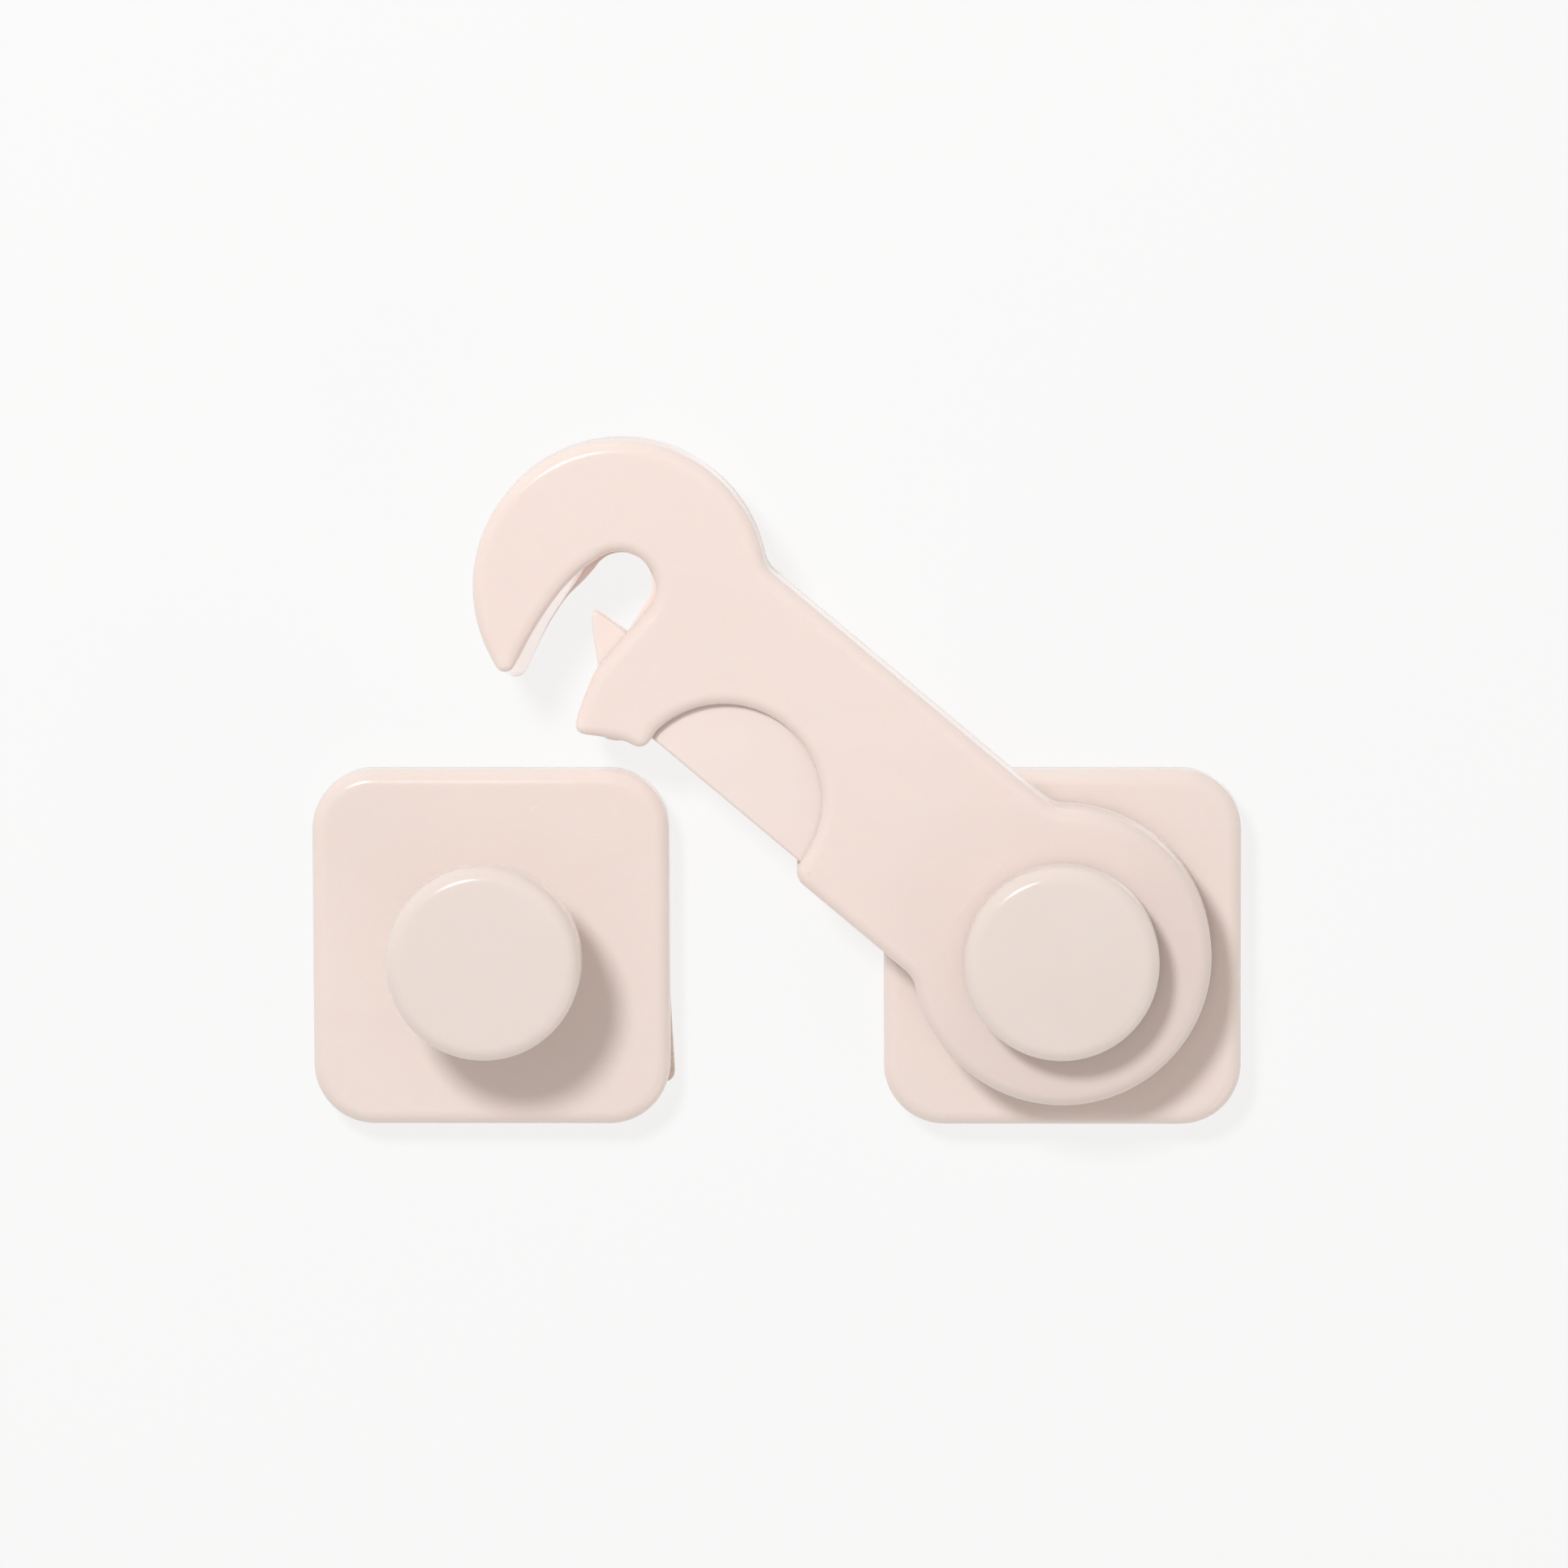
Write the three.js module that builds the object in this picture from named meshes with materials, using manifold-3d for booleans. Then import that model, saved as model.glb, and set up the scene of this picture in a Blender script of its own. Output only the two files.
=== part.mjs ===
// Two-part swing-arm child-safety latch: an arm that turns on one stick-on base
// hooks round the post of a second stick-on base, and a spring pawl keeps it there.
//
// Millimetres, +Z up. Z = 0 is the plane of both adhesive faces. The origin is where
// the swing axis meets that plane; the catch post stands POST_SPACING away along -X.
// The arm is modelled in its own frame (x towards the hook, y towards the mouth) and
// is turned ARM_OPEN degrees away from its closed place over the catch post.

import * as THREE from 'three';
import { mergeVertices } from 'three/addons/utils/BufferGeometryUtils.js';
import Module from 'manifold-3d';

const wasm = await Module();
wasm.setup();

// ---------------------------------------------------------------- dimensions
const POST_SPACING = 64;        // swing axis to catch post
const ARM_OPEN = 40.12;         // degrees the arm stands open

const BASE = 40;                // side of both square bases
const BASE_R = 6.8;             // corner radius of the bases
const BASE_EDGE = 2.0;          // rounding of the upper edge
const BASE_WALL = 1.7;          // skirt of the base
const BASE_ROOF = 1.8;          // roof of the base
const PAD_T = 1.0;              // adhesive foam
const PAD = 33;                 // side of the foam pad
const PAD_R = 1.2;
const CATCH_PAD = [3.06, -0.25, 3.2];   // each foam was stuck on a little off centre and askew:
const PIVOT_PAD = [-0.4, 0.3, -0.8];   // x, y and degrees, so the catch's shows past its base
const PLATE_Z0 = 1.05;          // back plate that closes the base
const PLATE_Z1 = 2.2;
const PLATE_SIDE = 39.5;
const BASE_Z0 = 2.3;
const BASE_Z1 = 6.5;
const PEG_XY = 13;              // locating pegs of the back plate
const PEG_R = 1.2;

const CATCH_NECK_R = 3.0;       // post that the hook closes round
const PIVOT_POST_R = 4.0;       // post that the arm turns on
const POST_TOP = 15.5;
const CAP_R = 10.8;             // round knobs on both posts
const CAP_Z0 = 15.9;
const CAP_Z1 = 21.9;
const CAP_EDGE = 2.0;
const CAP_BOSS_Z = 15.6;
const SCREW_R = 1.45;           // post screws, driven from below into the caps
const SCREW_HEAD_R = 2.9;

const ARM_Z0 = 7.3;             // back of the arm
const ARM_SEAM = 8.8;           // top of the rear shell
const ARM_SHELL_Z0 = 8.9;       // lower rim of the front shell
const ARM_ROOF_Z = 13.5;        // inside of the front shell's face
const ARM_Z1 = 15.3;            // face of the arm
const ARM_EDGE = 0.55;          // small bevel along the face
const HOOK_R = 16.3;
const DISC_R = 16.6;
const BAR_TOP = 12.1;           // from the arm's centre line to its plain edge
const BAR_LOW = 12.35;          // and to the edge with the finger recess
const WALL = 1.35;
const BLEND_R = 3.5;            // where the bar runs into hook and disc
const SLOT_R = 4.0;             // seat of the catch post, front shell
const REAR_SLOT_R = 3.45;       // the same in the rear shell
const BORE_R = 4.1;
const RECESS_U = 24.1;          // finger recess
const RECESS_V = 10.8;
const RECESS_R = 10.8;
const CLAW_INNER_R = 68.85;     // inner face of the claw, an arc round the swing axis
const CLAW_TIP_R = 1.1;
const WASHER_SEAT_R = 8.3;
const WASHER_SEAT_Z = 14.7;

const LEVER_Z0 = 9.1;
const LEVER_Z1 = 11.6;
const LEVER_U = 3.4;            // lever pin, measured from the hook's centre
const LEVER_V = -7.6;
const LEVER_BOSS_R = 2.7;
const PIN_R = 1.25;
const PIN_BORE_R = 1.33;
const PLATE_R = 12.6;           // finger plate of the lever
const PLATE_EDGE_V = 10.7;
const PLATE_TOP = 13.2;         // just under the face of the arm

const ARM_SCREWS = [[-10.4, -1.0], [9.2, 11.7], [47, -7.4], [47, 7.4]];
const ARM_SCREW_R = 1.0;
const ARM_SCREW_HEAD_R = 1.95;

const SPRING_U = 16.8;
const SPRING_V0 = -10.55;       // against the long wall of the arm
const SPRING_V1 = -2.65;        // against the lever's seat
const SPRING_Z = 11.2;
const SPRING_R = 1.65;
const SPRING_WIRE = 0.22;
const SPRING_TURNS = 5.5;

// ---------------------------------------------------------------- materials
const plastic = (hex, roughness = 0.34) =>
  new THREE.MeshStandardMaterial({ color: hex, roughness, metalness: 0 });
const ARM_PINK = 0xf3e2d8;
const BASE_PINK = 0xe9d8ce;
const CAP_PINK = 0xe8dad1;
const steel = () => new THREE.MeshStandardMaterial({ color: 0xb9bcc0, roughness: 0.3, metalness: 1 });
const foam = () => new THREE.MeshStandardMaterial({ color: 0xf1ece6, roughness: 0.9, metalness: 0 });
const nylon = () => new THREE.MeshStandardMaterial({ color: 0xf3f1ec, roughness: 0.5, metalness: 0 });

// ---------------------------------------------------------------- solids
const rad = (d) => (d * Math.PI) / 180;

function solid(geometry) {
  let g = geometry.clone();
  g.deleteAttribute('normal');
  g.deleteAttribute('uv');
  g = mergeVertices(g, 1e-5);
  const index = Array.from(g.index.array);
  const tri = [];
  for (let i = 0; i < index.length; i += 3) {
    const [a, b, c] = [index[i], index[i + 1], index[i + 2]];
    if (a !== b && b !== c && c !== a) tri.push(a, b, c);
  }
  const p = g.attributes.position.array;
  let volume = 0;
  for (let i = 0; i < tri.length; i += 3) {
    const [a, b, c] = [tri[i] * 3, tri[i + 1] * 3, tri[i + 2] * 3];
    volume += p[a] * (p[b + 1] * p[c + 2] - p[b + 2] * p[c + 1])
      - p[a + 1] * (p[b] * p[c + 2] - p[b + 2] * p[c])
      + p[a + 2] * (p[b] * p[c + 1] - p[b + 1] * p[c]);
  }
  if (volume < 0) for (let i = 0; i < tri.length; i += 3) [tri[i + 1], tri[i + 2]] = [tri[i + 2], tri[i + 1]];
  return new wasm.Manifold(new wasm.Mesh({
    numProp: 3, vertProperties: Float32Array.from(p), triVerts: Uint32Array.from(tri),
  }));
}

function geometryOf(manifold) {
  const m = manifold.getMesh();
  const g = new THREE.BufferGeometry();
  const p = new Float32Array(m.numVert * 3);
  for (let i = 0; i < m.numVert; i++) {
    for (let k = 0; k < 3; k++) p[i * 3 + k] = m.vertProperties[i * m.numProp + k];
  }
  g.setAttribute('position', new THREE.BufferAttribute(p, 3));
  g.setIndex(Array.from(m.triVerts));
  const flat = g.toNonIndexed();
  flat.computeVertexNormals();
  return flat;
}

const union = (...parts) => parts.reduce((a, b) => a.add(b));
const cut = (body, ...tools) => tools.reduce((a, b) => a.subtract(b), body);

// A body of stacked outlines with equal numbers of points, closed at both ends.
function loft(rings) {
  const n = rings[0].pts.length;
  const p = [];
  for (const ring of rings) for (const [x, y] of ring.pts) p.push(x, y, ring.z);
  const tri = [];
  for (let k = 0; k + 1 < rings.length; k++) {
    for (let i = 0; i < n; i++) {
      const j = (i + 1) % n;
      const [a, b, c, d] = [k * n + i, k * n + j, (k + 1) * n + j, (k + 1) * n + i];
      tri.push(a, b, c, a, c, d);
    }
  }
  const ends = [[0, rings[0].pts, true], [(rings.length - 1) * n, rings.at(-1).pts, false]];
  for (const [first, pts, under] of ends) {
    const faces = THREE.ShapeUtils.triangulateShape(pts.map(([x, y]) => new THREE.Vector2(x, y)), []);
    for (const [a, b, c] of faces) {
      if (under) tri.push(first + a, first + c, first + b);
      else tri.push(first + a, first + b, first + c);
    }
  }
  const g = new THREE.BufferGeometry();
  g.setAttribute('position', new THREE.Float32BufferAttribute(p, 3));
  g.setIndex(tri);
  return solid(g);
}

const area = (pts) => pts.reduce((s, [x, y], i) => {
  const [a, b] = pts[(i + 1) % pts.length];
  return s + (x * b - a * y) / 2;
}, 0);
const counterClockwise = (pts) => (area(pts) < 0 ? pts.slice().reverse() : pts);

function prism(outline, z0, z1) {
  const pts = counterClockwise(outline);
  return loft([{ z: z0, pts }, { z: z1, pts }]);
}

function disc(x, y, r, z0, z1, n = 24) {
  const g = new THREE.CylinderGeometry(r, r, z1 - z0, n);
  g.rotateX(Math.PI / 2);
  g.translate(x, y, (z0 + z1) / 2);
  return solid(g);
}

function block(x0, x1, y0, y1, z0, z1) {
  const g = new THREE.BoxGeometry(x1 - x0, y1 - y0, z1 - z0);
  g.translate((x0 + x1) / 2, (y0 + y1) / 2, (z0 + z1) / 2);
  return solid(g);
}

function turned(profile, n = 32) {
  const g = new THREE.LatheGeometry(profile.map(([r, z]) => new THREE.Vector2(r, z)), n);
  g.rotateX(Math.PI / 2);
  return solid(g);
}

const quarter = (cx, cy, r, a0, a1, n) =>
  Array.from({ length: n + 1 }, (_, i) => {
    const a = rad(a0 + ((a1 - a0) * i) / n);
    return [cx + r * Math.cos(a), cy + r * Math.sin(a)];
  });

function roundedSquare(side, r, n = 5) {
  const h = side / 2 - r;
  return [
    ...quarter(h, h, r, 0, 90, n), ...quarter(-h, h, r, 90, 180, n),
    ...quarter(-h, -h, r, 180, 270, n), ...quarter(h, -h, r, 270, 360, n),
  ];
}

// Moves each point of a closed outline inwards (positive d) along its normal.
function inset(outline, d) {
  const n = outline.length;
  return outline.map(([x, y], i) => {
    const [ax, ay] = outline[(i + n - 1) % n];
    const [bx, by] = outline[(i + 1) % n];
    let [ux, uy] = [x - ax, y - ay];
    let [vx, vy] = [bx - x, by - y];
    const [lu, lv] = [Math.hypot(ux, uy), Math.hypot(vx, vy)];
    [ux, uy, vx, vy] = [ux / lu, uy / lu, vx / lv, vy / lv];
    const [nx, ny] = [-(uy + vy), ux + vx];
    const l = Math.hypot(nx, ny);
    const c = Math.max(0.5, l / 2);
    return [x + (nx / l) * (d / c), y + (ny / l) * (d / c)];
  });
}

// Drops points that lie closer than gap to the one before.
const thin = (pts, gap = 0.12) => pts.filter(([x, y], i) => {
  if (!i) return true;
  const [a, b] = pts[i - 1];
  return Math.hypot(x - a, y - b) > gap;
});

const smooth = (pts, n) => new THREE.CatmullRomCurve3(
  pts.map(([x, y]) => new THREE.Vector3(x, y, 0)), false, 'centripetal',
).getPoints(n).map((p) => [p.x, p.y]);

// ---------------------------------------------------------------- both bases
function baseShell(postR, postTop) {
  const e = BASE_EDGE;
  const rings = [{ z: BASE_Z0, pts: roundedSquare(BASE, BASE_R) }];
  for (const a of [0, 30, 60, 90]) {
    const d = e * (1 - Math.cos(rad(a)));
    rings.push({ z: BASE_Z1 - e + e * Math.sin(rad(a)), pts: roundedSquare(BASE - 2 * d, BASE_R - d) });
  }
  let body = loft(rings);
  body = cut(body, prism(roundedSquare(BASE - 2 * BASE_WALL, BASE_R - BASE_WALL), BASE_Z0 - 1, BASE_Z1 - BASE_ROOF));
  const sockets = [[1, 1], [-1, 1], [-1, -1], [1, -1]].map(([a, b]) =>
    cut(disc(a * PEG_XY, b * PEG_XY, 2.5, BASE_Z0 + 0.2, BASE_Z1 - BASE_ROOF + 0.4, 14),
      disc(a * PEG_XY, b * PEG_XY, PEG_R + 0.12, BASE_Z0 - 1, BASE_Z1 - BASE_ROOF, 12)));
  const ribs = [
    block(-18.6, 18.6, -0.7, 0.7, BASE_Z0 + 0.2, BASE_Z1 - BASE_ROOF + 0.4),
    block(-0.7, 0.7, -18.6, 18.6, BASE_Z0 + 0.2, BASE_Z1 - BASE_ROOF + 0.4),
  ];
  const boss = disc(0, 0, 6.4, BASE_Z0, BASE_Z1 - BASE_ROOF + 0.4, 24);
  const flare = 1.0;
  const post = turned([
    [0, BASE_Z1 - 0.6], [postR + flare, BASE_Z1 - 0.6], [postR + flare, BASE_Z1 - 0.02],
    ...quarter(postR + flare, BASE_Z1 + flare, flare, 270, 180, 3).slice(1, -1),
    [postR, BASE_Z1 + flare], [postR, postTop - 0.4], [postR - 0.4, postTop], [0, postTop],
  ]);
  body = union(body, boss, ...sockets, ...ribs, postR > 3.5 ? straightPost(postR, postTop) : post);
  return cut(body,
    disc(0, 0, SCREW_R + 0.2, BASE_Z0 - 1, postTop + 1, 20),
    disc(0, 0, SCREW_HEAD_R + 0.25, BASE_Z0 - 1, 4.3, 20));
}

function straightPost(postR, postTop) {
  return turned([
    [0, BASE_Z1 - 0.6], [postR, BASE_Z1 - 0.6], [postR, postTop - 0.4], [postR - 0.4, postTop], [0, postTop],
  ]);
}

function backPlate() {
  const plate = loft([
    { z: PLATE_Z0, pts: roundedSquare(PLATE_SIDE - 0.6, BASE_R - 0.55) },
    { z: PLATE_Z0 + 0.3, pts: roundedSquare(PLATE_SIDE, BASE_R - 0.25) },
    { z: PLATE_Z1, pts: roundedSquare(PLATE_SIDE, BASE_R - 0.25) },
  ]);
  const pegs = [[1, 1], [-1, 1], [-1, -1], [1, -1]].map(([a, b]) =>
    disc(a * PEG_XY, b * PEG_XY, PEG_R, PLATE_Z1 - 0.4, BASE_Z1 - BASE_ROOF - 0.5, 10));
  return union(plate, ...pegs);
}

const foamPad = () => prism(roundedSquare(PAD, PAD_R, 4), 0, PAD_T);

function cap() {
  const profile = [
    [0, CAP_BOSS_Z], [3.6, CAP_BOSS_Z], [4.1, CAP_Z0], [7.6, CAP_Z0], [7.8, CAP_Z0 + 3.4],
    [9.0, CAP_Z0 + 3.4], [9.2, CAP_Z0], [CAP_R - 0.5, CAP_Z0], [CAP_R, CAP_Z0 + 0.5],
    [CAP_R, CAP_Z1 - CAP_EDGE],
    ...quarter(CAP_R - CAP_EDGE, CAP_Z1 - CAP_EDGE, CAP_EDGE, 0, 90, 3).slice(1),
    [0, CAP_Z1],
  ];
  return cut(turned(profile, 40), disc(0, 0, SCREW_R + 0.07, CAP_BOSS_Z - 1, 19.6, 20));
}

function crossRecess(z0, z1, reach, width) {
  return union(block(-reach, reach, -width, width, z0, z1), block(-width, width, -reach, reach, z0, z1));
}

function postScrew() {
  const body = turned([
    [0, 2.4], [SCREW_HEAD_R - 0.5, 2.4], [SCREW_HEAD_R, 2.9], [SCREW_HEAD_R, 4.2],
    [SCREW_R, 4.2], [SCREW_R, 18.4], [0.5, 19.3], [0, 19.3],
  ], 18);
  return cut(body, crossRecess(2.0, 3.5, 1.6, 0.35));
}

function flatWasher() {
  return cut(disc(0, 0, 8.0, 6.6, 7.2, 30), disc(0, 0, PIVOT_POST_R + 0.15, 6, 8, 32));
}

// A ring of thin strip that rises and falls three times round its circle.
function waveWasher() {
  const [r0, r1, n, t] = [4.6, 7.6, 30, 0.25];
  const mid = 15.28;
  const p = [];
  const tri = [];
  for (let i = 0; i < n; i++) {
    const a = (i / n) * 2 * Math.PI;
    const z = mid + 0.33 * Math.sin(3 * a);
    for (const [r, dz] of [[r0, -t / 2], [r1, -t / 2], [r1, t / 2], [r0, t / 2]]) {
      p.push(r * Math.cos(a), r * Math.sin(a), z + dz);
    }
    const j = (i + 1) % n;
    for (let k = 0; k < 4; k++) {
      const m = (k + 1) % 4;
      tri.push(i * 4 + k, j * 4 + k, j * 4 + m, i * 4 + k, j * 4 + m, i * 4 + m);
    }
  }
  const g = new THREE.BufferGeometry();
  g.setAttribute('position', new THREE.Float32BufferAttribute(p, 3));
  g.setIndex(tri);
  return solid(g);
}

// ---------------------------------------------------------------- the arm
// Outlines are written in u (from the hook's centre towards the swing axis) and v
// (towards the mouth), and inArm turns them into the arm's frame.
const inArm = (pts) => pts.map(([u, v]) => [POST_SPACING - u, v]);

// Blend of radius f outside circle (cu, r), running out onto the line at distance w.
function blend(cu, r, w, sign, f) {
  const du = Math.sqrt((r + f) ** 2 - (w + f) ** 2);
  const centre = [cu + (cu ? -du : du), sign * (w + f)];
  const onCircle = Math.atan2(centre[1], centre[0] - cu) * 180 / Math.PI;
  return { centre, onCircle };
}

const JAW = [
  [3.9, 3.6], [3.88, 6.2], [3.9, 8.8], [4.3, 10.4], [4.8, 11.9], [5.3, 13.3], [5.85, 14.5],
  [6.25, 15.02], [6.75, 15.22], [7.4, 15.05], [8.7, 14.3], [10.1, 13.5], [11.5, 12.75], [12.4, 12.5],
];

function armOutline(rear) {
  const slotR = rear ? REAR_SLOT_R : SLOT_R;
  const tipR = rear ? 1.3 : CLAW_TIP_R;
  const inner = rear ? 67.48 : CLAW_INNER_R;
  // centre of the claw's round tip: inside the hook circle, outside the inner arc
  const [a, b] = [HOOK_R - tipR, inner + tipR];
  const tu = (POST_SPACING ** 2 + a * a - b * b) / (2 * POST_SPACING);
  const tv = Math.sqrt(a * a - tu * tu);
  const tipStart = Math.atan2(tv, tu) * 180 / Math.PI;
  const tipEnd = Math.atan2(tv, tu - POST_SPACING) * 180 / Math.PI - 180;
  const low = blend(POST_SPACING, DISC_R, BAR_LOW, 1, BLEND_R);
  const topDisc = blend(POST_SPACING, DISC_R, BAR_TOP, -1, BLEND_R);
  const topHook = blend(0, HOOK_R, BAR_TOP, -1, BLEND_R);
  const claw = rear
    ? smooth([[-1.93, 14.37], [-2.72, 11.3], [-3.3, 8.8], [-3.7, 5.1], [-3.45, 2.4], [-3.4, 0.6]], 8)
    : smooth([
      [POST_SPACING + CLAW_INNER_R * Math.cos(rad(180 - 12)), CLAW_INNER_R * Math.sin(rad(12))],
      [-4.1, 10.4], [-4.55, 7.4], [-4.73, 4.6], [-4.6, 1.9], [-4.2, 0.1]], 8);
  const slot = quarter(0, 0, slotR, rear ? 180 : 190, rear ? 366 : 372, 16);
  const recess = rear
    ? [[13.1, 12.05], [13.7, 11.0], [14.3, 10.2], [15.4, 9.9], [32.9, 9.9], [34.0, 10.2], [34.7, 11.0], [35.3, 11.9], [36.6, BAR_LOW]]
    : [[13.0, 12.25], [13.42, 11.75], [13.55, 11.1], ...quarter(RECESS_U, RECESS_V, RECESS_R, 186, 356, 16),
      [35.1, 11.3], [35.6, 11.95], [36.5, BAR_LOW]];
  const path = [
    ...slot,
    ...(rear ? [[3.65, 1.6]] : [[4.03, 2.0]]),
    ...smooth(JAW, 20),
    ...recess,
    ...quarter(low.centre[0], low.centre[1], BLEND_R, 270, low.onCircle + 180, 3),
    ...quarter(POST_SPACING, 0, DISC_R, low.onCircle, topDisc.onCircle, 30).slice(1),
    ...quarter(topDisc.centre[0], topDisc.centre[1], BLEND_R, topDisc.onCircle + 180, 90, 3).slice(1),
    ...quarter(topHook.centre[0], topHook.centre[1], BLEND_R, 90, topHook.onCircle + 180, 3),
    ...quarter(0, 0, HOOK_R, topHook.onCircle + 360, tipStart, 26).slice(1),
    ...quarter(tu, tv, tipR, tipStart, tipEnd, 5).slice(1),
    ...claw.slice(rear ? 0 : 1),
  ];
  return counterClockwise(inArm(thin(path, 0.15)));
}

// The open mouth and slot of the front shell, widened by d: what its walls stand round.
function mouthVoid(d) {
  const path = [
    [-8.5 - d, 22], [-3.2 - d, 14.7], [-4.1 - d, 10.4], [-4.55 - d, 7.4], [-4.73 - d, 4.6], [-4.6 - d, 1.9],
    ...quarter(0, 0, SLOT_R + d, 185, 360, 14),
    [3.95 + d, 3.6], [3.9 + d, 8.8], [4.3 + d, 10.4], [4.8 + d, 11.9], [5.3 + d, 13.3], [5.95 + d, 14.6], [9 + d, 22],
  ];
  return inArm(path);
}

const X = (u) => POST_SPACING - u;

// The claw's inner wall leans: wider at the seam, where it meets the rear shell, so that
// the post is led in as the hook closes.
function clawRamp() {
  const tip = (u, v, r) => [90, 66, 42, 18, 0, -10].map((a) => [u + r * Math.cos(rad(a)), v + r * Math.sin(rad(a))]);
  const wide = [...tip(-3.2, 14.65, 1.25), [-2.76, 11.3], [-3.4, 8.8], [-3.86, 5.1], [-4.0, 3.0], [-4.3, 1.2]];
  const narrow = [...tip(-4.42, 14.54, 1.05), [-4.05, 10.9], [-4.5, 8.2], [-4.75, 5.1], [-4.7, 3.0], [-4.5, 1.2]];
  const back = [[-5.2, 1.2], [-5.5, 5.1], [-5.2, 9.0], [-4.8, 12.5], [-4.9, 15.0]];
  const ring = (front) => {
    const pts = inArm([...front, ...back]);
    return area(pts) < 0 ? pts.reverse() : pts;
  };
  return loft([{ z: ARM_SHELL_Z0, pts: ring(wide) }, { z: ARM_Z1 - ARM_EDGE - 0.2, pts: ring(narrow) }]);
}

function frontShell() {
  const outline = armOutline(false);
  let body = loft([
    { z: ARM_SHELL_Z0, pts: outline },
    { z: ARM_Z1 - ARM_EDGE, pts: outline },
    { z: ARM_Z1 - ARM_EDGE * 0.3, pts: inset(outline, ARM_EDGE * 0.3) },
    { z: ARM_Z1, pts: inset(outline, ARM_EDGE) },
  ]);
  const hollow = (z0, z1) => cut(
    union(
      disc(X(0), 0, HOOK_R - WALL, z0, z1, 36),
      block(0, X(0), -(BAR_TOP - WALL), BAR_LOW - WALL, z0, z1),
      disc(0, 0, DISC_R - WALL, z0, z1, 36),
    ),
    prism(mouthVoid(1.3), z0 - 1, z1 + 1),
    // the jaw's lower wall
    prism(inArm([[5.2, 14.6], [7.2, 13.5], [10, 12.0], [12, 11.2], [12.0, 22], [5, 22]]), z0 - 1, z1 + 1),
  );
  const low = hollow(ARM_SHELL_Z0 - 1, LEVER_Z1 + 0.2);
  const high = hollow(LEVER_Z1 + 0.15, ARM_ROOF_Z);
  body = union(cut(body, low, high), clawRamp());
  for (const [u, v] of ARM_SCREWS) {
    const r = u > 5 && u < 12 ? 2.2 : 2.9;
    body = union(body, disc(X(u), v, r, ARM_SHELL_Z0, ARM_ROOF_Z + 0.4, 18));
  }
  body = union(body, disc(X(LEVER_U), LEVER_V, 2.4, LEVER_Z1 + 0.25, ARM_ROOF_Z + 0.4, 18));
  body = union(body, disc(0, 0, 6.1, ARM_SHELL_Z0, ARM_ROOF_Z + 0.4, 28));
  body = union(body, block(6.0, 14.6, -0.6, 0.6, 11, ARM_ROOF_Z + 0.4));
  for (const [u, v] of ARM_SCREWS) body = cut(body, disc(X(u), v, ARM_SCREW_R + 0.09, ARM_SHELL_Z0 - 1, 13.3, 14));
  return cut(body,
    disc(X(LEVER_U), LEVER_V, PIN_R + 0.06, LEVER_Z1, 13.3, 24),
    disc(0, 0, BORE_R, 8, 16, 32),
    disc(0, 0, WASHER_SEAT_R, WASHER_SEAT_Z, 16, 32),
    block(X(9), X(2.5), 3.2, 9.6, ARM_SHELL_Z0 - 1, LEVER_Z1 + 0.2));
}

function rearShell() {
  const outline = armOutline(true);
  let body = loft([
    { z: ARM_Z0, pts: inset(outline, 0.3) },
    { z: ARM_Z0 + 0.3, pts: outline },
    { z: ARM_SEAM, pts: outline },
  ]);
  for (const [u, v] of ARM_SCREWS) {
    body = cut(body,
      disc(X(u), v, ARM_SCREW_HEAD_R + 0.2, ARM_Z0 - 1, 8.3, 18),
      disc(X(u), v, ARM_SCREW_R + 0.15, ARM_Z0 - 1, 9, 14));
  }
  return cut(body,
    disc(X(LEVER_U), LEVER_V, PIN_R + 0.06, 7.9, 9, 24),
    disc(0, 0, BORE_R, 7, 9, 32));
}

function armScrew() {
  const body = turned([
    [0, 7.4], [ARM_SCREW_HEAD_R - 0.25, 7.4], [ARM_SCREW_HEAD_R, 7.65], [ARM_SCREW_HEAD_R, 8.2],
    [ARM_SCREW_R, 8.2], [ARM_SCREW_R, 12.4], [0.3, 13.1], [0, 13.1],
  ], 14);
  return cut(body, crossRecess(7, 7.95, 1.15, 0.22));
}

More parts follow.
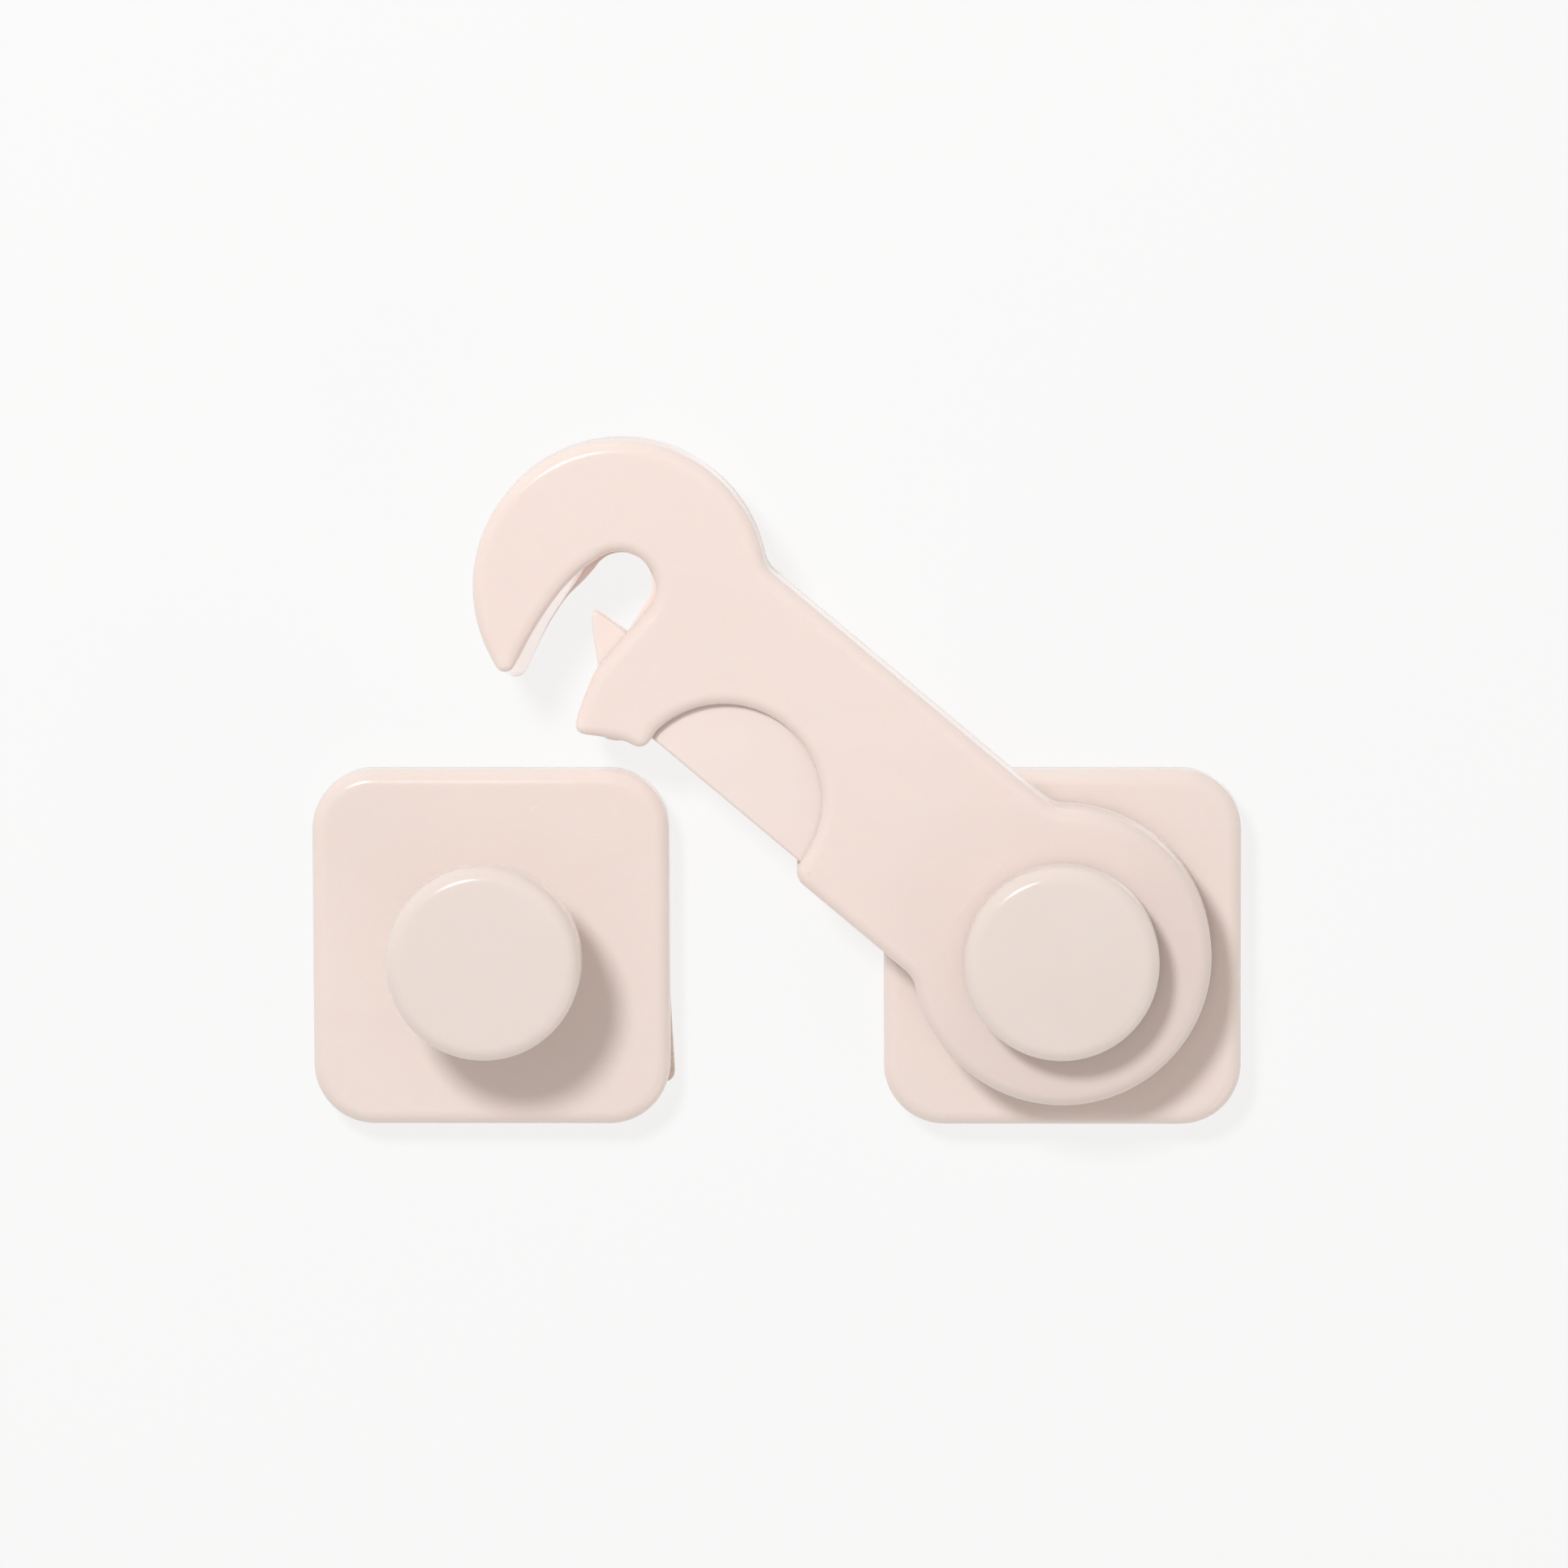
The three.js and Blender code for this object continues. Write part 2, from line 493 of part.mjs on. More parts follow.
function releaseLever() {
  const R = PLATE_R;
  const plateArc = quarter(RECESS_U, RECESS_V, R, -0.4, -112, 14);
  const path = [
    // inner edge of the bend round the post seat, then the pawl's tooth
    ...quarter(0, 0, 5.75, -52, 14, 6), [5.72, 2.9], [5.5, 3.45],
    [3.9, 3.58], [0.8, 3.76], [0.0, 3.84], [-0.4, 4.02], [-0.55, 4.3], [-0.42, 4.6], [-0.05, 4.95],
    [1.0, 6.05], [2.2, 7.1], [3.4, 8.15], [4.1, 8.75], [4.9, 9.0],
    [11.6, 9.0], [12.1, 9.3], [12.3, 9.8], [12.3, PLATE_EDGE_V],
    ...plateArc,
    [19.3, -2.4], [14.2, -2.4], [7.3, -8.2],
    ...quarter(LEVER_U, LEVER_V, LEVER_BOSS_R, -45, -285, 12),
  ];
  const outline = counterClockwise(inArm(path));
  let body = loft([
    { z: LEVER_Z0, pts: inset(outline, 0.15) },
    { z: LEVER_Z0 + 0.15, pts: outline },
    { z: LEVER_Z1 - 0.25, pts: outline },
    { z: LEVER_Z1, pts: inset(outline, 0.25) },
  ]);
  // the finger plate stands up under the face's thin edge, which it slides beneath
  const plate = counterClockwise(inArm([[12.9, PLATE_EDGE_V], ...quarter(RECESS_U, RECESS_V, R, -0.4, -172, 20)]));
  body = union(body,
    loft([
      { z: LEVER_Z1 - 1, pts: plate },
      { z: PLATE_TOP - 0.25, pts: plate },
      { z: PLATE_TOP, pts: inset(plate, 0.25) },
    ]),
    block(X(19.0), X(14.6), -2.4, -1.0, LEVER_Z0 + 0.4, 13.2));
  return cut(body, disc(X(LEVER_U), LEVER_V, PIN_BORE_R, 8, 13, 24));
}

const leverPin = () => turned([
  [0, 7.95], [PIN_R - 0.2, 7.95], [PIN_R, 8.15], [PIN_R, 13.0], [PIN_R - 0.2, 13.2], [0, 13.2],
], 20);

class Helix extends THREE.Curve {
  getPoint(t, target = new THREE.Vector3()) {
    const a = t * SPRING_TURNS * 2 * Math.PI;
    // closed end turns: the pitch falls away at both ends
    const s = t < 0.14 ? t * 0.35 : t > 0.86 ? 1 - (1 - t) * 0.35 : 0.049 + (t - 0.14) * (0.902 / 0.72);
    const v = SPRING_V0 + SPRING_WIRE + 0.05 + s * (SPRING_V1 - SPRING_V0 - 2 * SPRING_WIRE - 0.1);
    return target.set(X(SPRING_U) + SPRING_R * Math.cos(a), v, SPRING_Z + SPRING_R * Math.sin(a));
  }
}

function leverSpring() {
  const section = new THREE.Shape(quarter(0, 0, SPRING_WIRE, 0, 360, 5).slice(0, 5).map(([x, y]) => new THREE.Vector2(x, y)));
  return solid(new THREE.ExtrudeGeometry(section, { steps: 66, extrudePath: new Helix() }));
}

// ---------------------------------------------------------------- assembly
const latch = new THREE.Group();

function add(parent, name, body, material, x = 0, y = 0, turn = 0) {
  const mesh = new THREE.Mesh(geometryOf(body), material);
  mesh.name = name;
  mesh.position.set(x, y, 0);
  mesh.rotation.z = rad(turn);
  parent.add(mesh);
}

const catchSide = new THREE.Group();
catchSide.position.x = -POST_SPACING;
latch.add(catchSide);
add(catchSide, 'catch_adhesive_pad', foamPad(), foam(), ...CATCH_PAD);
add(catchSide, 'catch_back_plate', backPlate(), plastic(BASE_PINK));
add(catchSide, 'catch_base', baseShell(CATCH_NECK_R, POST_TOP), plastic(BASE_PINK));
add(catchSide, 'catch_cap', cap(), plastic(CAP_PINK, 0.28));
add(catchSide, 'catch_screw', postScrew(), steel());

const pivotSide = new THREE.Group();
latch.add(pivotSide);
add(pivotSide, 'pivot_adhesive_pad', foamPad(), foam(), ...PIVOT_PAD);
add(pivotSide, 'pivot_back_plate', backPlate(), plastic(BASE_PINK));
add(pivotSide, 'pivot_base', baseShell(PIVOT_POST_R, POST_TOP), plastic(BASE_PINK));
add(pivotSide, 'pivot_cap', cap(), plastic(CAP_PINK, 0.28));
add(pivotSide, 'pivot_screw', postScrew(), steel());
add(pivotSide, 'pivot_washer', flatWasher(), nylon());
add(pivotSide, 'pivot_wave_washer', waveWasher(), steel());

const arm = new THREE.Group();
arm.rotation.z = rad(180 - ARM_OPEN);
latch.add(arm);
add(arm, 'arm_front_shell', frontShell(), plastic(ARM_PINK));
add(arm, 'arm_rear_shell', rearShell(), plastic(ARM_PINK));
add(arm, 'release_lever', releaseLever(), plastic(ARM_PINK));
add(arm, 'lever_pin', leverPin(), steel(), X(LEVER_U), LEVER_V);
add(arm, 'lever_spring', leverSpring(), steel());
ARM_SCREWS.forEach(([u, v], i) => add(arm, `arm_screw_${i + 1}`, armScrew(), steel(), X(u), v));

export default latch;
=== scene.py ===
import math

import bpy
import numpy as np
from mathutils import Matrix, Vector
from mathutils.geometry import delaunay_2d_cdt


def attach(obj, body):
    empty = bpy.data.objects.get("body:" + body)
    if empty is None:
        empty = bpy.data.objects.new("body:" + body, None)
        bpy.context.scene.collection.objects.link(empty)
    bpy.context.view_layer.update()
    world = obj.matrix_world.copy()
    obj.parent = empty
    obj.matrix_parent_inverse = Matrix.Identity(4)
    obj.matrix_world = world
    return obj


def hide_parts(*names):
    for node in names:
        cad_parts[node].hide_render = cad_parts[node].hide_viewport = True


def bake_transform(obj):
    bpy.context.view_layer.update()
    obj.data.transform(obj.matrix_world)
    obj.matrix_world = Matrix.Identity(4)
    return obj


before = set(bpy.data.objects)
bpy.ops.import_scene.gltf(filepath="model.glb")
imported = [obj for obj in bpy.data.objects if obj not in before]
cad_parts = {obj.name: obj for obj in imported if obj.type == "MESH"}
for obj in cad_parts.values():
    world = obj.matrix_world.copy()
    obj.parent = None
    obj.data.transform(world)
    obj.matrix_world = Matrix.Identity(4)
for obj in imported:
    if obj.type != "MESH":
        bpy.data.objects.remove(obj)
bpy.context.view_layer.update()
scene = bpy.context.scene
MM = 0.001

# ------------------------------------------------------------------ sizes, mm
SPACING, OPEN = 64.0, 40.12
ARM_TURN = math.radians(180 - OPEN)
BASE_Z0, BASE_Z1 = 2.3, 6.5
ARM_Z0, ARM_SEAM, SHELL_Z0, ROOF_Z, ARM_Z1 = 7.3, 8.8, 8.9, 13.5, 15.3
HOOK_R, DISC_R, BAR_TOP, BAR_LOW, WALL, BLEND_R = 16.3, 16.6, 12.1, 12.35, 1.35, 3.5
SLOT_R, REAR_SLOT_R = 4.0, 3.45
RECESS = (24.1, 10.8, 10.8)
LEVER = (3.4, -7.6, 2.7)
ARM_SCREWS = [(-10.4, -1.0), (9.2, 11.7), (47, -7.4), (47, 7.4)]


def arc(cx, cy, r, a0, a1, step=2.0):
    n = max(2, int(abs(a1 - a0) / step) + 1)
    a = np.radians(np.linspace(a0, a1, n))
    return [(cx + r * math.cos(t), cy + r * math.sin(t)) for t in a]


def spline(pts, n=60):
    """Centripetal Catmull-Rom through the points."""
    p = [np.array(q, float) for q in pts]
    p = [2 * p[0] - p[1], *p, 2 * p[-1] - p[-2]]
    out = []
    for i in range(1, len(p) - 2):
        p0, p1, p2, p3 = p[i - 1:i + 3]
        t = [0.0]
        for a, b in ((p0, p1), (p1, p2), (p2, p3)):
            t.append(t[-1] + max(1e-6, float(np.linalg.norm(b - a)) ** 0.5))
        m = max(3, n // (len(p) - 3))
        for s in np.linspace(t[1], t[2], m, endpoint=False):
            a1 = (t[1] - s) / (t[1] - t[0]) * p0 + (s - t[0]) / (t[1] - t[0]) * p1
            a2 = (t[2] - s) / (t[2] - t[1]) * p1 + (s - t[1]) / (t[2] - t[1]) * p2
            a3 = (t[3] - s) / (t[3] - t[2]) * p2 + (s - t[2]) / (t[3] - t[2]) * p3
            b1 = (t[2] - s) / (t[2] - t[0]) * a1 + (s - t[0]) / (t[2] - t[0]) * a2
            b2 = (t[3] - s) / (t[3] - t[1]) * a2 + (s - t[1]) / (t[3] - t[1]) * a3
            out.append(tuple((t[2] - s) / (t[2] - t[1]) * b1 + (s - t[1]) / (t[2] - t[1]) * b2))
    out.append(tuple(p[-2]))
    return out


def signed_area(p):
    x, y = p[:, 0], p[:, 1]
    return 0.5 * float(np.sum(x * np.roll(y, -1) - y * np.roll(x, -1)))


def outline_of(path, ds=0.25, sigma=0.2):
    """A closed path, evenly spaced, counter-clockwise, its kinks eased over about sigma mm."""
    p = np.array(path, float)
    keep = np.linalg.norm(p - np.roll(p, 1, 0), axis=1) > 1e-4
    p = p[keep]
    if signed_area(p) < 0:
        p = p[::-1]
    q = np.vstack([p, p[:1]])
    s = np.r_[0, np.cumsum(np.linalg.norm(np.diff(q, axis=0), axis=1))]
    n = int(s[-1] / ds)
    at = np.arange(n) * s[-1] / n
    r = np.column_stack([np.interp(at, s, q[:, 0]), np.interp(at, s, q[:, 1])])
    step = s[-1] / n
    k = int(4 * sigma / step) + 1
    w = np.exp(-0.5 * (np.arange(-k, k + 1) * step / sigma) ** 2)
    w /= w.sum()
    return sum(w[i + k] * np.roll(r, i, 0) for i in range(-k, k + 1))


def normals_in(p):
    """Unit normals that point into a counter-clockwise outline."""
    t = np.roll(p, -1, 0) - np.roll(p, 1, 0)
    t /= np.linalg.norm(t, axis=1)[:, None]
    return np.column_stack([-t[:, 1], t[:, 0]])


def edge_radii(p, r, ease=0.8):
    """How far each point may be rounded in: r, or less where the outline is too narrow or its corner too tight."""
    n = normals_in(p)
    low, high = np.zeros(len(p)), np.full(len(p), float(r))
    for _ in range(9):
        mid = (low + high) / 2
        q = p + n * mid[:, None]
        d = np.sqrt(((q[:, None, :] - p[None, :, :]) ** 2).sum(2)).min(1)
        ok = d >= 0.975 * mid
        low, high = np.where(ok, mid, low), np.where(ok, high, mid)
    full = low >= 0.97 * r
    depth = np.where(full, r, 0.86 * low)
    step = float(np.linalg.norm(p[1] - p[0]))
    k = max(1, int(0.6 / step))
    m = np.min([np.roll(depth, i) for i in range(-k, k + 1)], 0)
    kk = int(3 * ease / step) + 1
    w = np.exp(-0.5 * (np.arange(-kk, kk + 1) * step / ease) ** 2)
    w /= w.sum()
    s = sum(w[i + kk] * np.roll(m, i) for i in range(-kk, kk + 1))
    return np.minimum(s, depth)


def new_object(name, verts, faces):
    me = bpy.data.meshes.new(name)
    me.from_pydata([tuple(v) for v in verts], [], faces)
    me.validate()
    ob = bpy.data.objects.new(name, me)
    scene.collection.objects.link(ob)
    return ob


def cap_faces(pts):
    """Triangles that fill a closed outline."""
    n = len(pts)
    out = delaunay_2d_cdt([Vector((float(x), float(y))) for x, y in pts], [(i, (i + 1) % n) for i in range(n)],
                          [list(range(n))], 1, 1e-9)
    ids = out[3]
    faces = []
    for f in out[2]:
        g = [ids[i][0] if ids[i] else None for i in f]
        if None not in g:
            faces.append(g)
    return faces


def slab(name, p, z0, z1, r_top=0.5, r_bot=0.1, steps=8, rad_top=None):
    """A plate of outline p (mm) with rounded edges, from z0 to z1."""
    n_in = normals_in(p)
    top = edge_radii(p, r_top) if rad_top is None else rad_top
    bot = np.minimum(top, r_bot)
    rings = []
    sb = 3 if r_bot < 0.3 else 5
    for a in np.linspace(90, 0, sb):
        a = math.radians(a)
        rings.append((p + n_in * (bot * (1 - math.cos(a)))[:, None], z0 + bot * (1 - math.sin(a))))
    if z1 - z0 - r_top - r_bot > 0.6:
        for f in (0.34, 0.67):
            zz = (z0 + bot) * (1 - f) + (z1 - top) * f
            rings.append((p.copy(), zz))
    for a in np.linspace(0, 90, steps + 1):
        a = math.radians(a)
        rings.append((p + n_in * (top * (1 - math.cos(a)))[:, None], z1 - top * (1 - math.sin(a))))
    n = len(p)
    verts, faces = [], []
    for q, z in rings:
        z = np.broadcast_to(z, (n,))
        verts += [(q[i, 0] * MM, q[i, 1] * MM, float(z[i]) * MM) for i in range(n)]
    for k in range(len(rings) - 1):
        for i in range(n):
            j = (i + 1) % n
            faces.append((k * n + i, k * n + j, (k + 1) * n + j, (k + 1) * n + i))
    last = (len(rings) - 1) * n
    for f in cap_faces(rings[0][0]):
        faces.append(tuple(reversed(orient(f, rings[0][0]))))
    for f in cap_faces(rings[-1][0]):
        faces.append(tuple(last + i for i in orient(f, rings[-1][0])))
    return close_gaps(new_object(name, verts, faces))


def close_gaps(ob):
    """Fills the small gaps that a tight corner of the outline leaves in a flat face."""
    import bmesh
    bm = bmesh.new()
    bm.from_mesh(ob.data)
    gaps = [e for e in bm.edges if len(e.link_faces) == 1]
    if gaps:
        new = bmesh.ops.holes_fill(bm, edges=gaps, sides=0)["faces"]
        bmesh.ops.triangulate(bm, faces=new)
        bmesh.ops.recalc_face_normals(bm, faces=bm.faces)
        bm.to_mesh(ob.data)
    bm.free()
    return ob


def orient(f, p):
    a, b, c = (p[i] for i in f[:3])
    cross = (b[0] - a[0]) * (c[1] - a[1]) - (b[1] - a[1]) * (c[0] - a[0])
    return list(f) if cross > 0 else list(reversed(f))


def prism(name, pts, z0, z1):
    p = np.array(pts, float)
    if signed_area(p) < 0:
        p = p[::-1]
    n = len(p)
    verts = [(x * MM, y * MM, z0 * MM) for x, y in p] + [(x * MM, y * MM, z1 * MM) for x, y in p]
    faces = [(i, (i + 1) % n, n + (i + 1) % n, n + i) for i in range(n)]
    tri = [orient(f, p) for f in cap_faces(p)]
    faces += [tuple(reversed(f)) for f in tri] + [tuple(n + i for i in f) for f in tri]
    return new_object(name, verts, faces)


def cyl(name, x, y, r, z0, z1, n=72):
    return prism(name, arc(x, y, r, 0, 360 - 360 / n, 360 / n)[:n], z0, z1)


def box_mm(name, x0, x1, y0, y1, z0, z1):
    return prism(name, [(x0, y0), (x1, y0), (x1, y1), (x0, y1)], z0, z1)


def lathe(name, profile, x=0.0, y=0.0, n=128):
    """Turns a profile of (r, z) in mm round +Z; it starts and ends on the axis or closes on itself."""
    pts = [(r, z) for r, z in profile]
    on_axis = pts[0][0] < 1e-9 and pts[-1][0] < 1e-9
    verts, faces, ring = [], [], []
    for r, z in pts:
        if r < 1e-9:
            ring.append([len(verts)])
            verts.append((x * MM, y * MM, z * MM))
        else:
            ring.append([len(verts) + i for i in range(n)])
            verts += [((x + r * math.cos(2 * math.pi * i / n)) * MM, (y + r * math.sin(2 * math.pi * i / n)) * MM, z * MM)
                      for i in range(n)]
    pairs = list(zip(range(len(pts) - 1), range(1, len(pts))))
    if not on_axis:
        pairs.append((len(pts) - 1, 0))
    for a, b in pairs:
        A, B = ring[a], ring[b]
        for i in range(n):
            j = (i + 1) % n
            if len(A) == 1 and len(B) == 1:
                continue
            if len(A) == 1:
                faces.append((A[0], B[j], B[i]))
            elif len(B) == 1:
                faces.append((A[i], A[j], B[0]))
            else:
                faces.append((A[i], A[j], B[j], B[i]))
    ob = new_object(name, verts, faces)
    import bmesh
    bm = bmesh.new()
    bm.from_mesh(ob.data)
    bmesh.ops.recalc_face_normals(bm, faces=bm.faces)
    bm.to_mesh(ob.data)
    bm.free()
    return ob


def fillet(cx, cz, r, a0, a1, n=8):
    return [(cx + r * math.cos(math.radians(a)), cz + r * math.sin(math.radians(a))) for a in np.linspace(a0, a1, n + 1)]


def boolean(ob, tool, op="DIFFERENCE", solver="MANIFOLD"):
    m = ob.modifiers.new("b", "BOOLEAN")
    m.operation, m.object = op, tool
    m.solver = solver
    dg = bpy.context.evaluated_depsgraph_get()
    me = bpy.data.meshes.new_from_object(ob.evaluated_get(dg))
    before = len(ob.data.vertices)
    ob.modifiers.remove(m)
    if len(me.vertices) < 8 and solver == "MANIFOLD":
        return boolean(ob, tool, op, "EXACT")
    old = ob.data
    ob.data = me
    me.name = ob.name
    bpy.data.meshes.remove(old)
    data = tool.data
    bpy.data.objects.remove(tool)
    bpy.data.meshes.remove(data)
    return before


def join(ob, *others):
    """Adds other objects' faces to ob's mesh."""
    import bmesh
    bm = bmesh.new()
    bm.from_mesh(ob.data)
    for o in others:
        bm.from_mesh(o.data)
        data = o.data
        bpy.data.objects.remove(o)
        bpy.data.meshes.remove(data)
    bm.to_mesh(ob.data)
    bm.free()
    return ob


def finish_mesh(ob, angle=38):
    me = ob.data
    me.polygons.foreach_set("use_smooth", [True] * len(me.polygons))
    me.set_sharp_from_angle(angle=math.radians(angle))
    m = ob.modifiers.new("normals", "WEIGHTED_NORMAL")
    m.keep_sharp = True
    m.weight = 60
    m.mode = "FACE_AREA"
    return ob


def place(ob, body, node, material, arm=False):
    """Puts a finished piece on its body in place of its CAD node."""
    if arm:
        ob.data.transform(Matrix.Rotation(ARM_TURN, 4, "Z"))
    ob.data.materials.clear()
    ob.data.materials.append(material)
    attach(ob, body)
    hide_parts(node)
    return ob


# ------------------------------------------------------------------ outlines
def in_arm(pts):
    return [(SPACING - u, v) for u, v in pts]


def blend_circle(cu, r, w, sign, f):
    du = math.sqrt((r + f) ** 2 - (w + f) ** 2)
    c = (cu + (-du if cu else du), sign * (w + f))
    return c, math.degrees(math.atan2(c[1], c[0] - cu))


JAW = [(3.9, 3.6), (3.88, 6.2), (3.9, 8.8), (4.3, 10.4), (4.8, 11.9), (5.3, 13.3), (5.85, 14.5),
       (6.25, 15.02), (6.75, 15.22), (7.4, 15.05), (8.7, 14.3), (10.1, 13.5), (11.5, 12.75), (12.4, 12.5)]


def arm_outline(rear):
    slot_r = REAR_SLOT_R if rear else SLOT_R
    tip_r = 1.3 if rear else 1.1
    inner = 67.48 if rear else 68.85
    a, b = HOOK_R - tip_r, inner + tip_r
    tu = (SPACING ** 2 + a * a - b * b) / (2 * SPACING)
    tv = math.sqrt(a * a - tu * tu)
    tip0 = math.degrees(math.atan2(tv, tu))
    tip1 = math.degrees(math.atan2(tv, tu - SPACING)) - 180
    low, low_a = blend_circle(SPACING, DISC_R, BAR_LOW, 1, BLEND_R)
    tdc, tdc_a = blend_circle(SPACING, DISC_R, BAR_TOP, -1, BLEND_R)
    thk, thk_a = blend_circle(0, HOOK_R, BAR_TOP, -1, BLEND_R)
    if rear:
        claw = spline([(-1.93, 14.37), (-2.72, 11.3), (-3.3, 8.8), (-3.7, 5.1), (-3.45, 2.4), (-3.4, 0.6)])
        recess = [(13.1, 12.05), (13.7, 11.0), (14.3, 10.2), (15.4, 9.9), (32.9, 9.9), (34.0, 10.2), (34.7, 11.0),
                  (35.3, 11.9), (36.6, BAR_LOW)]
    else:
        t = math.radians(12)
        claw = spline([(SPACING - inner * math.cos(t), inner * math.sin(t)), (-4.1, 10.4), (-4.55, 7.4), (-4.73, 4.6),
                       (-4.6, 1.9), (-4.2, 0.1)])
        recess = [(13.0, 12.25), (13.42, 11.75), (13.55, 11.1), *arc(*RECESS, 186, 356), (35.1, 11.3), (35.6, 11.95),
                  (36.5, BAR_LOW)]
    path = [
        *arc(0, 0, slot_r, 180 if rear else 190, 366 if rear else 372),
        (3.65, 1.6) if rear else (4.03, 2.0),
        *spline(JAW, 140),
        *recess,
        *arc(*low, BLEND_R, 270, low_a + 180),
        *arc(SPACING, 0, DISC_R, low_a, tdc_a, 1)[1:],
        *arc(*tdc, BLEND_R, tdc_a + 180, 90)[1:],
        *arc(*thk, BLEND_R, 90, thk_a + 180),
        *arc(0, 0, HOOK_R, thk_a + 360, tip0, 1)[1:],
        *arc(tu, tv, tip_r, tip0, tip1, 4)[1:],
        *claw[(0 if rear else 1):],
    ]
    return outline_of(in_arm(path), 0.25, 0.16)


def mouth_void(d):
    return in_arm([
        (-8.5 - d, 22), (-3.2 - d, 14.7), (-4.1 - d, 10.4), (-4.55 - d, 7.4), (-4.73 - d, 4.6), (-4.6 - d, 1.9),
        *arc(0, 0, SLOT_R + d, 185, 360, 4),
        (3.95 + d, 3.6), (3.9 + d, 8.8), (4.3 + d, 10.4), (4.8 + d, 11.9), (5.3 + d, 13.3), (5.95 + d, 14.6), (9 + d, 22)])


def lever_outline():
    path = [
        *arc(0, 0, 5.75, -52, 14), (5.72, 2.9), (5.5, 3.45), (3.9, 3.58), (0.8, 3.76), (0.0, 3.86), (-0.36, 4.04),
        (-0.47, 4.3), (-0.36, 4.6), (-0.05, 4.95), (1.0, 6.05), (2.2, 7.1), (3.4, 8.15), (4.1, 8.75), (4.9, 9.0),
        (11.6, 9.0), (12.1, 9.3), (12.3, 9.8), (12.3, 10.7), *arc(RECESS[0], RECESS[1], 12.6, -0.4, -112),
        (19.3, -2.4), (14.2, -2.4), (7.3, -8.2), *arc(*LEVER, -45, -285)]
    return outline_of(in_arm(path), 0.16, 0.08)


def rounded_square(side, r, x=0.0, y=0.0, turn=0.0, ds=0.3):
    h = side / 2 - r
    p = []
    for k, (sx, sy) in enumerate(((1, 1), (-1, 1), (-1, -1), (1, -1))):
        p += arc(sx * h, sy * h, r, 90 * k, 90 * k + 90, 2)
    c, s = math.cos(math.radians(turn)), math.sin(math.radians(turn))
    p = [(x + a * c - b * s, y + a * s + b * c) for a, b in p]
    return outline_of(p, ds, 0.25)


# ------------------------------------------------------------------ materials
class Nodes:
    """Short calls for one material's node tree."""

    def __init__(self, name):
        self.mat = bpy.data.materials.new(name)
        self.mat.use_nodes = True
        self.t = self.mat.node_tree
        self.bsdf = next(n for n in self.t.nodes if n.type == "BSDF_PRINCIPLED")
        self.out = next(n for n in self.t.nodes if n.type == "OUTPUT_MATERIAL")
        self.co = self.t.nodes.new("ShaderNodeTexCoord").outputs["Object"]

    def link(self, a, b):
        self.t.links.new(a, b)

    def put(self, socket, value):
        if isinstance(value, bpy.types.NodeSocket):
            self.link(value, socket)
        else:
            socket.default_value = value

    def math(self, op, a, b=0.0, c=0.0, clamp=False):
        n = self.t.nodes.new("ShaderNodeMath")
        n.operation, n.use_clamp = op, clamp
        for s, v in zip(n.inputs, (a, b, c)):
            self.put(s, v)
        return n.outputs[0]

    def vmath(self, op, a, b=(0, 0, 0)):
        n = self.t.nodes.new("ShaderNodeVectorMath")
        n.operation = op
        self.put(n.inputs[0], a)
        self.put(n.inputs[1], b)
        return n.outputs["Value"] if op in ("DISTANCE", "LENGTH", "DOT_PRODUCT") else n.outputs["Vector"]

    def scaled(self, v):
        n = self.t.nodes.new("ShaderNodeMapping")
        n.inputs["Scale"].default_value = v
        self.link(self.co, n.inputs["Vector"])
        return n.outputs[0]

    def noise(self, scale, detail=2.0, rough=0.5, co=None, distort=0.0):
        n = self.t.nodes.new("ShaderNodeTexNoise")
        n.inputs["Scale"].default_value = scale
        n.inputs["Detail"].default_value = detail
        n.inputs["Roughness"].default_value = rough
        n.inputs["Distortion"].default_value = distort
        self.link(co or self.co, n.inputs["Vector"])
        return n.outputs["Fac"]

    def voronoi(self, scale, feature="F1", co=None):
        n = self.t.nodes.new("ShaderNodeTexVoronoi")
        n.feature = feature
        n.inputs["Scale"].default_value = scale
        self.link(co or self.co, n.inputs["Vector"])
        return n

    def ramp(self, value, a, b, lo=0.0, hi=1.0, smooth=True):
        n = self.t.nodes.new("ShaderNodeMapRange")
        n.interpolation_type = "SMOOTHSTEP" if smooth else "LINEAR"
        for s, v in zip(n.inputs[:5], (value, a, b, lo, hi)):
            self.put(s, v)
        return n.outputs[0]

    def mix(self, fac, a, b):
        n = self.t.nodes.new("ShaderNodeMix")
        n.data_type = "RGBA"
        self.put(n.inputs["Factor"], fac)
        for s, v in ((n.inputs["A"], a), (n.inputs["B"], b)):
            for inp in n.inputs:
                if inp.name == s.name and inp.type == "RGBA":
                    self.put(inp, v)
        return next(o for o in n.outputs if o.type == "RGBA")

    def bump(self, height, distance, strength=1.0, normal=None):
        n = self.t.nodes.new("ShaderNodeBump")
        n.inputs["Strength"].default_value = strength
        n.inputs["Distance"].default_value = distance
        self.link(height, n.inputs["Height"])
        if normal is not None:
            self.link(normal, n.inputs["Normal"])
        return n.outputs[0]


def lin(r, g, b):
    f = lambda c: c / 12.92 if c <= 0.04045 else ((c + 0.055) / 1.055) ** 2.4
    return (f(r / 255), f(g / 255), f(b / 255), 1.0)


def shade(c, k, tint=(1, 1, 1)):
    return (min(1, c[0] * k * tint[0]), min(1, c[1] * k * tint[1]), min(1, c[2] * k * tint[2]), 1.0)


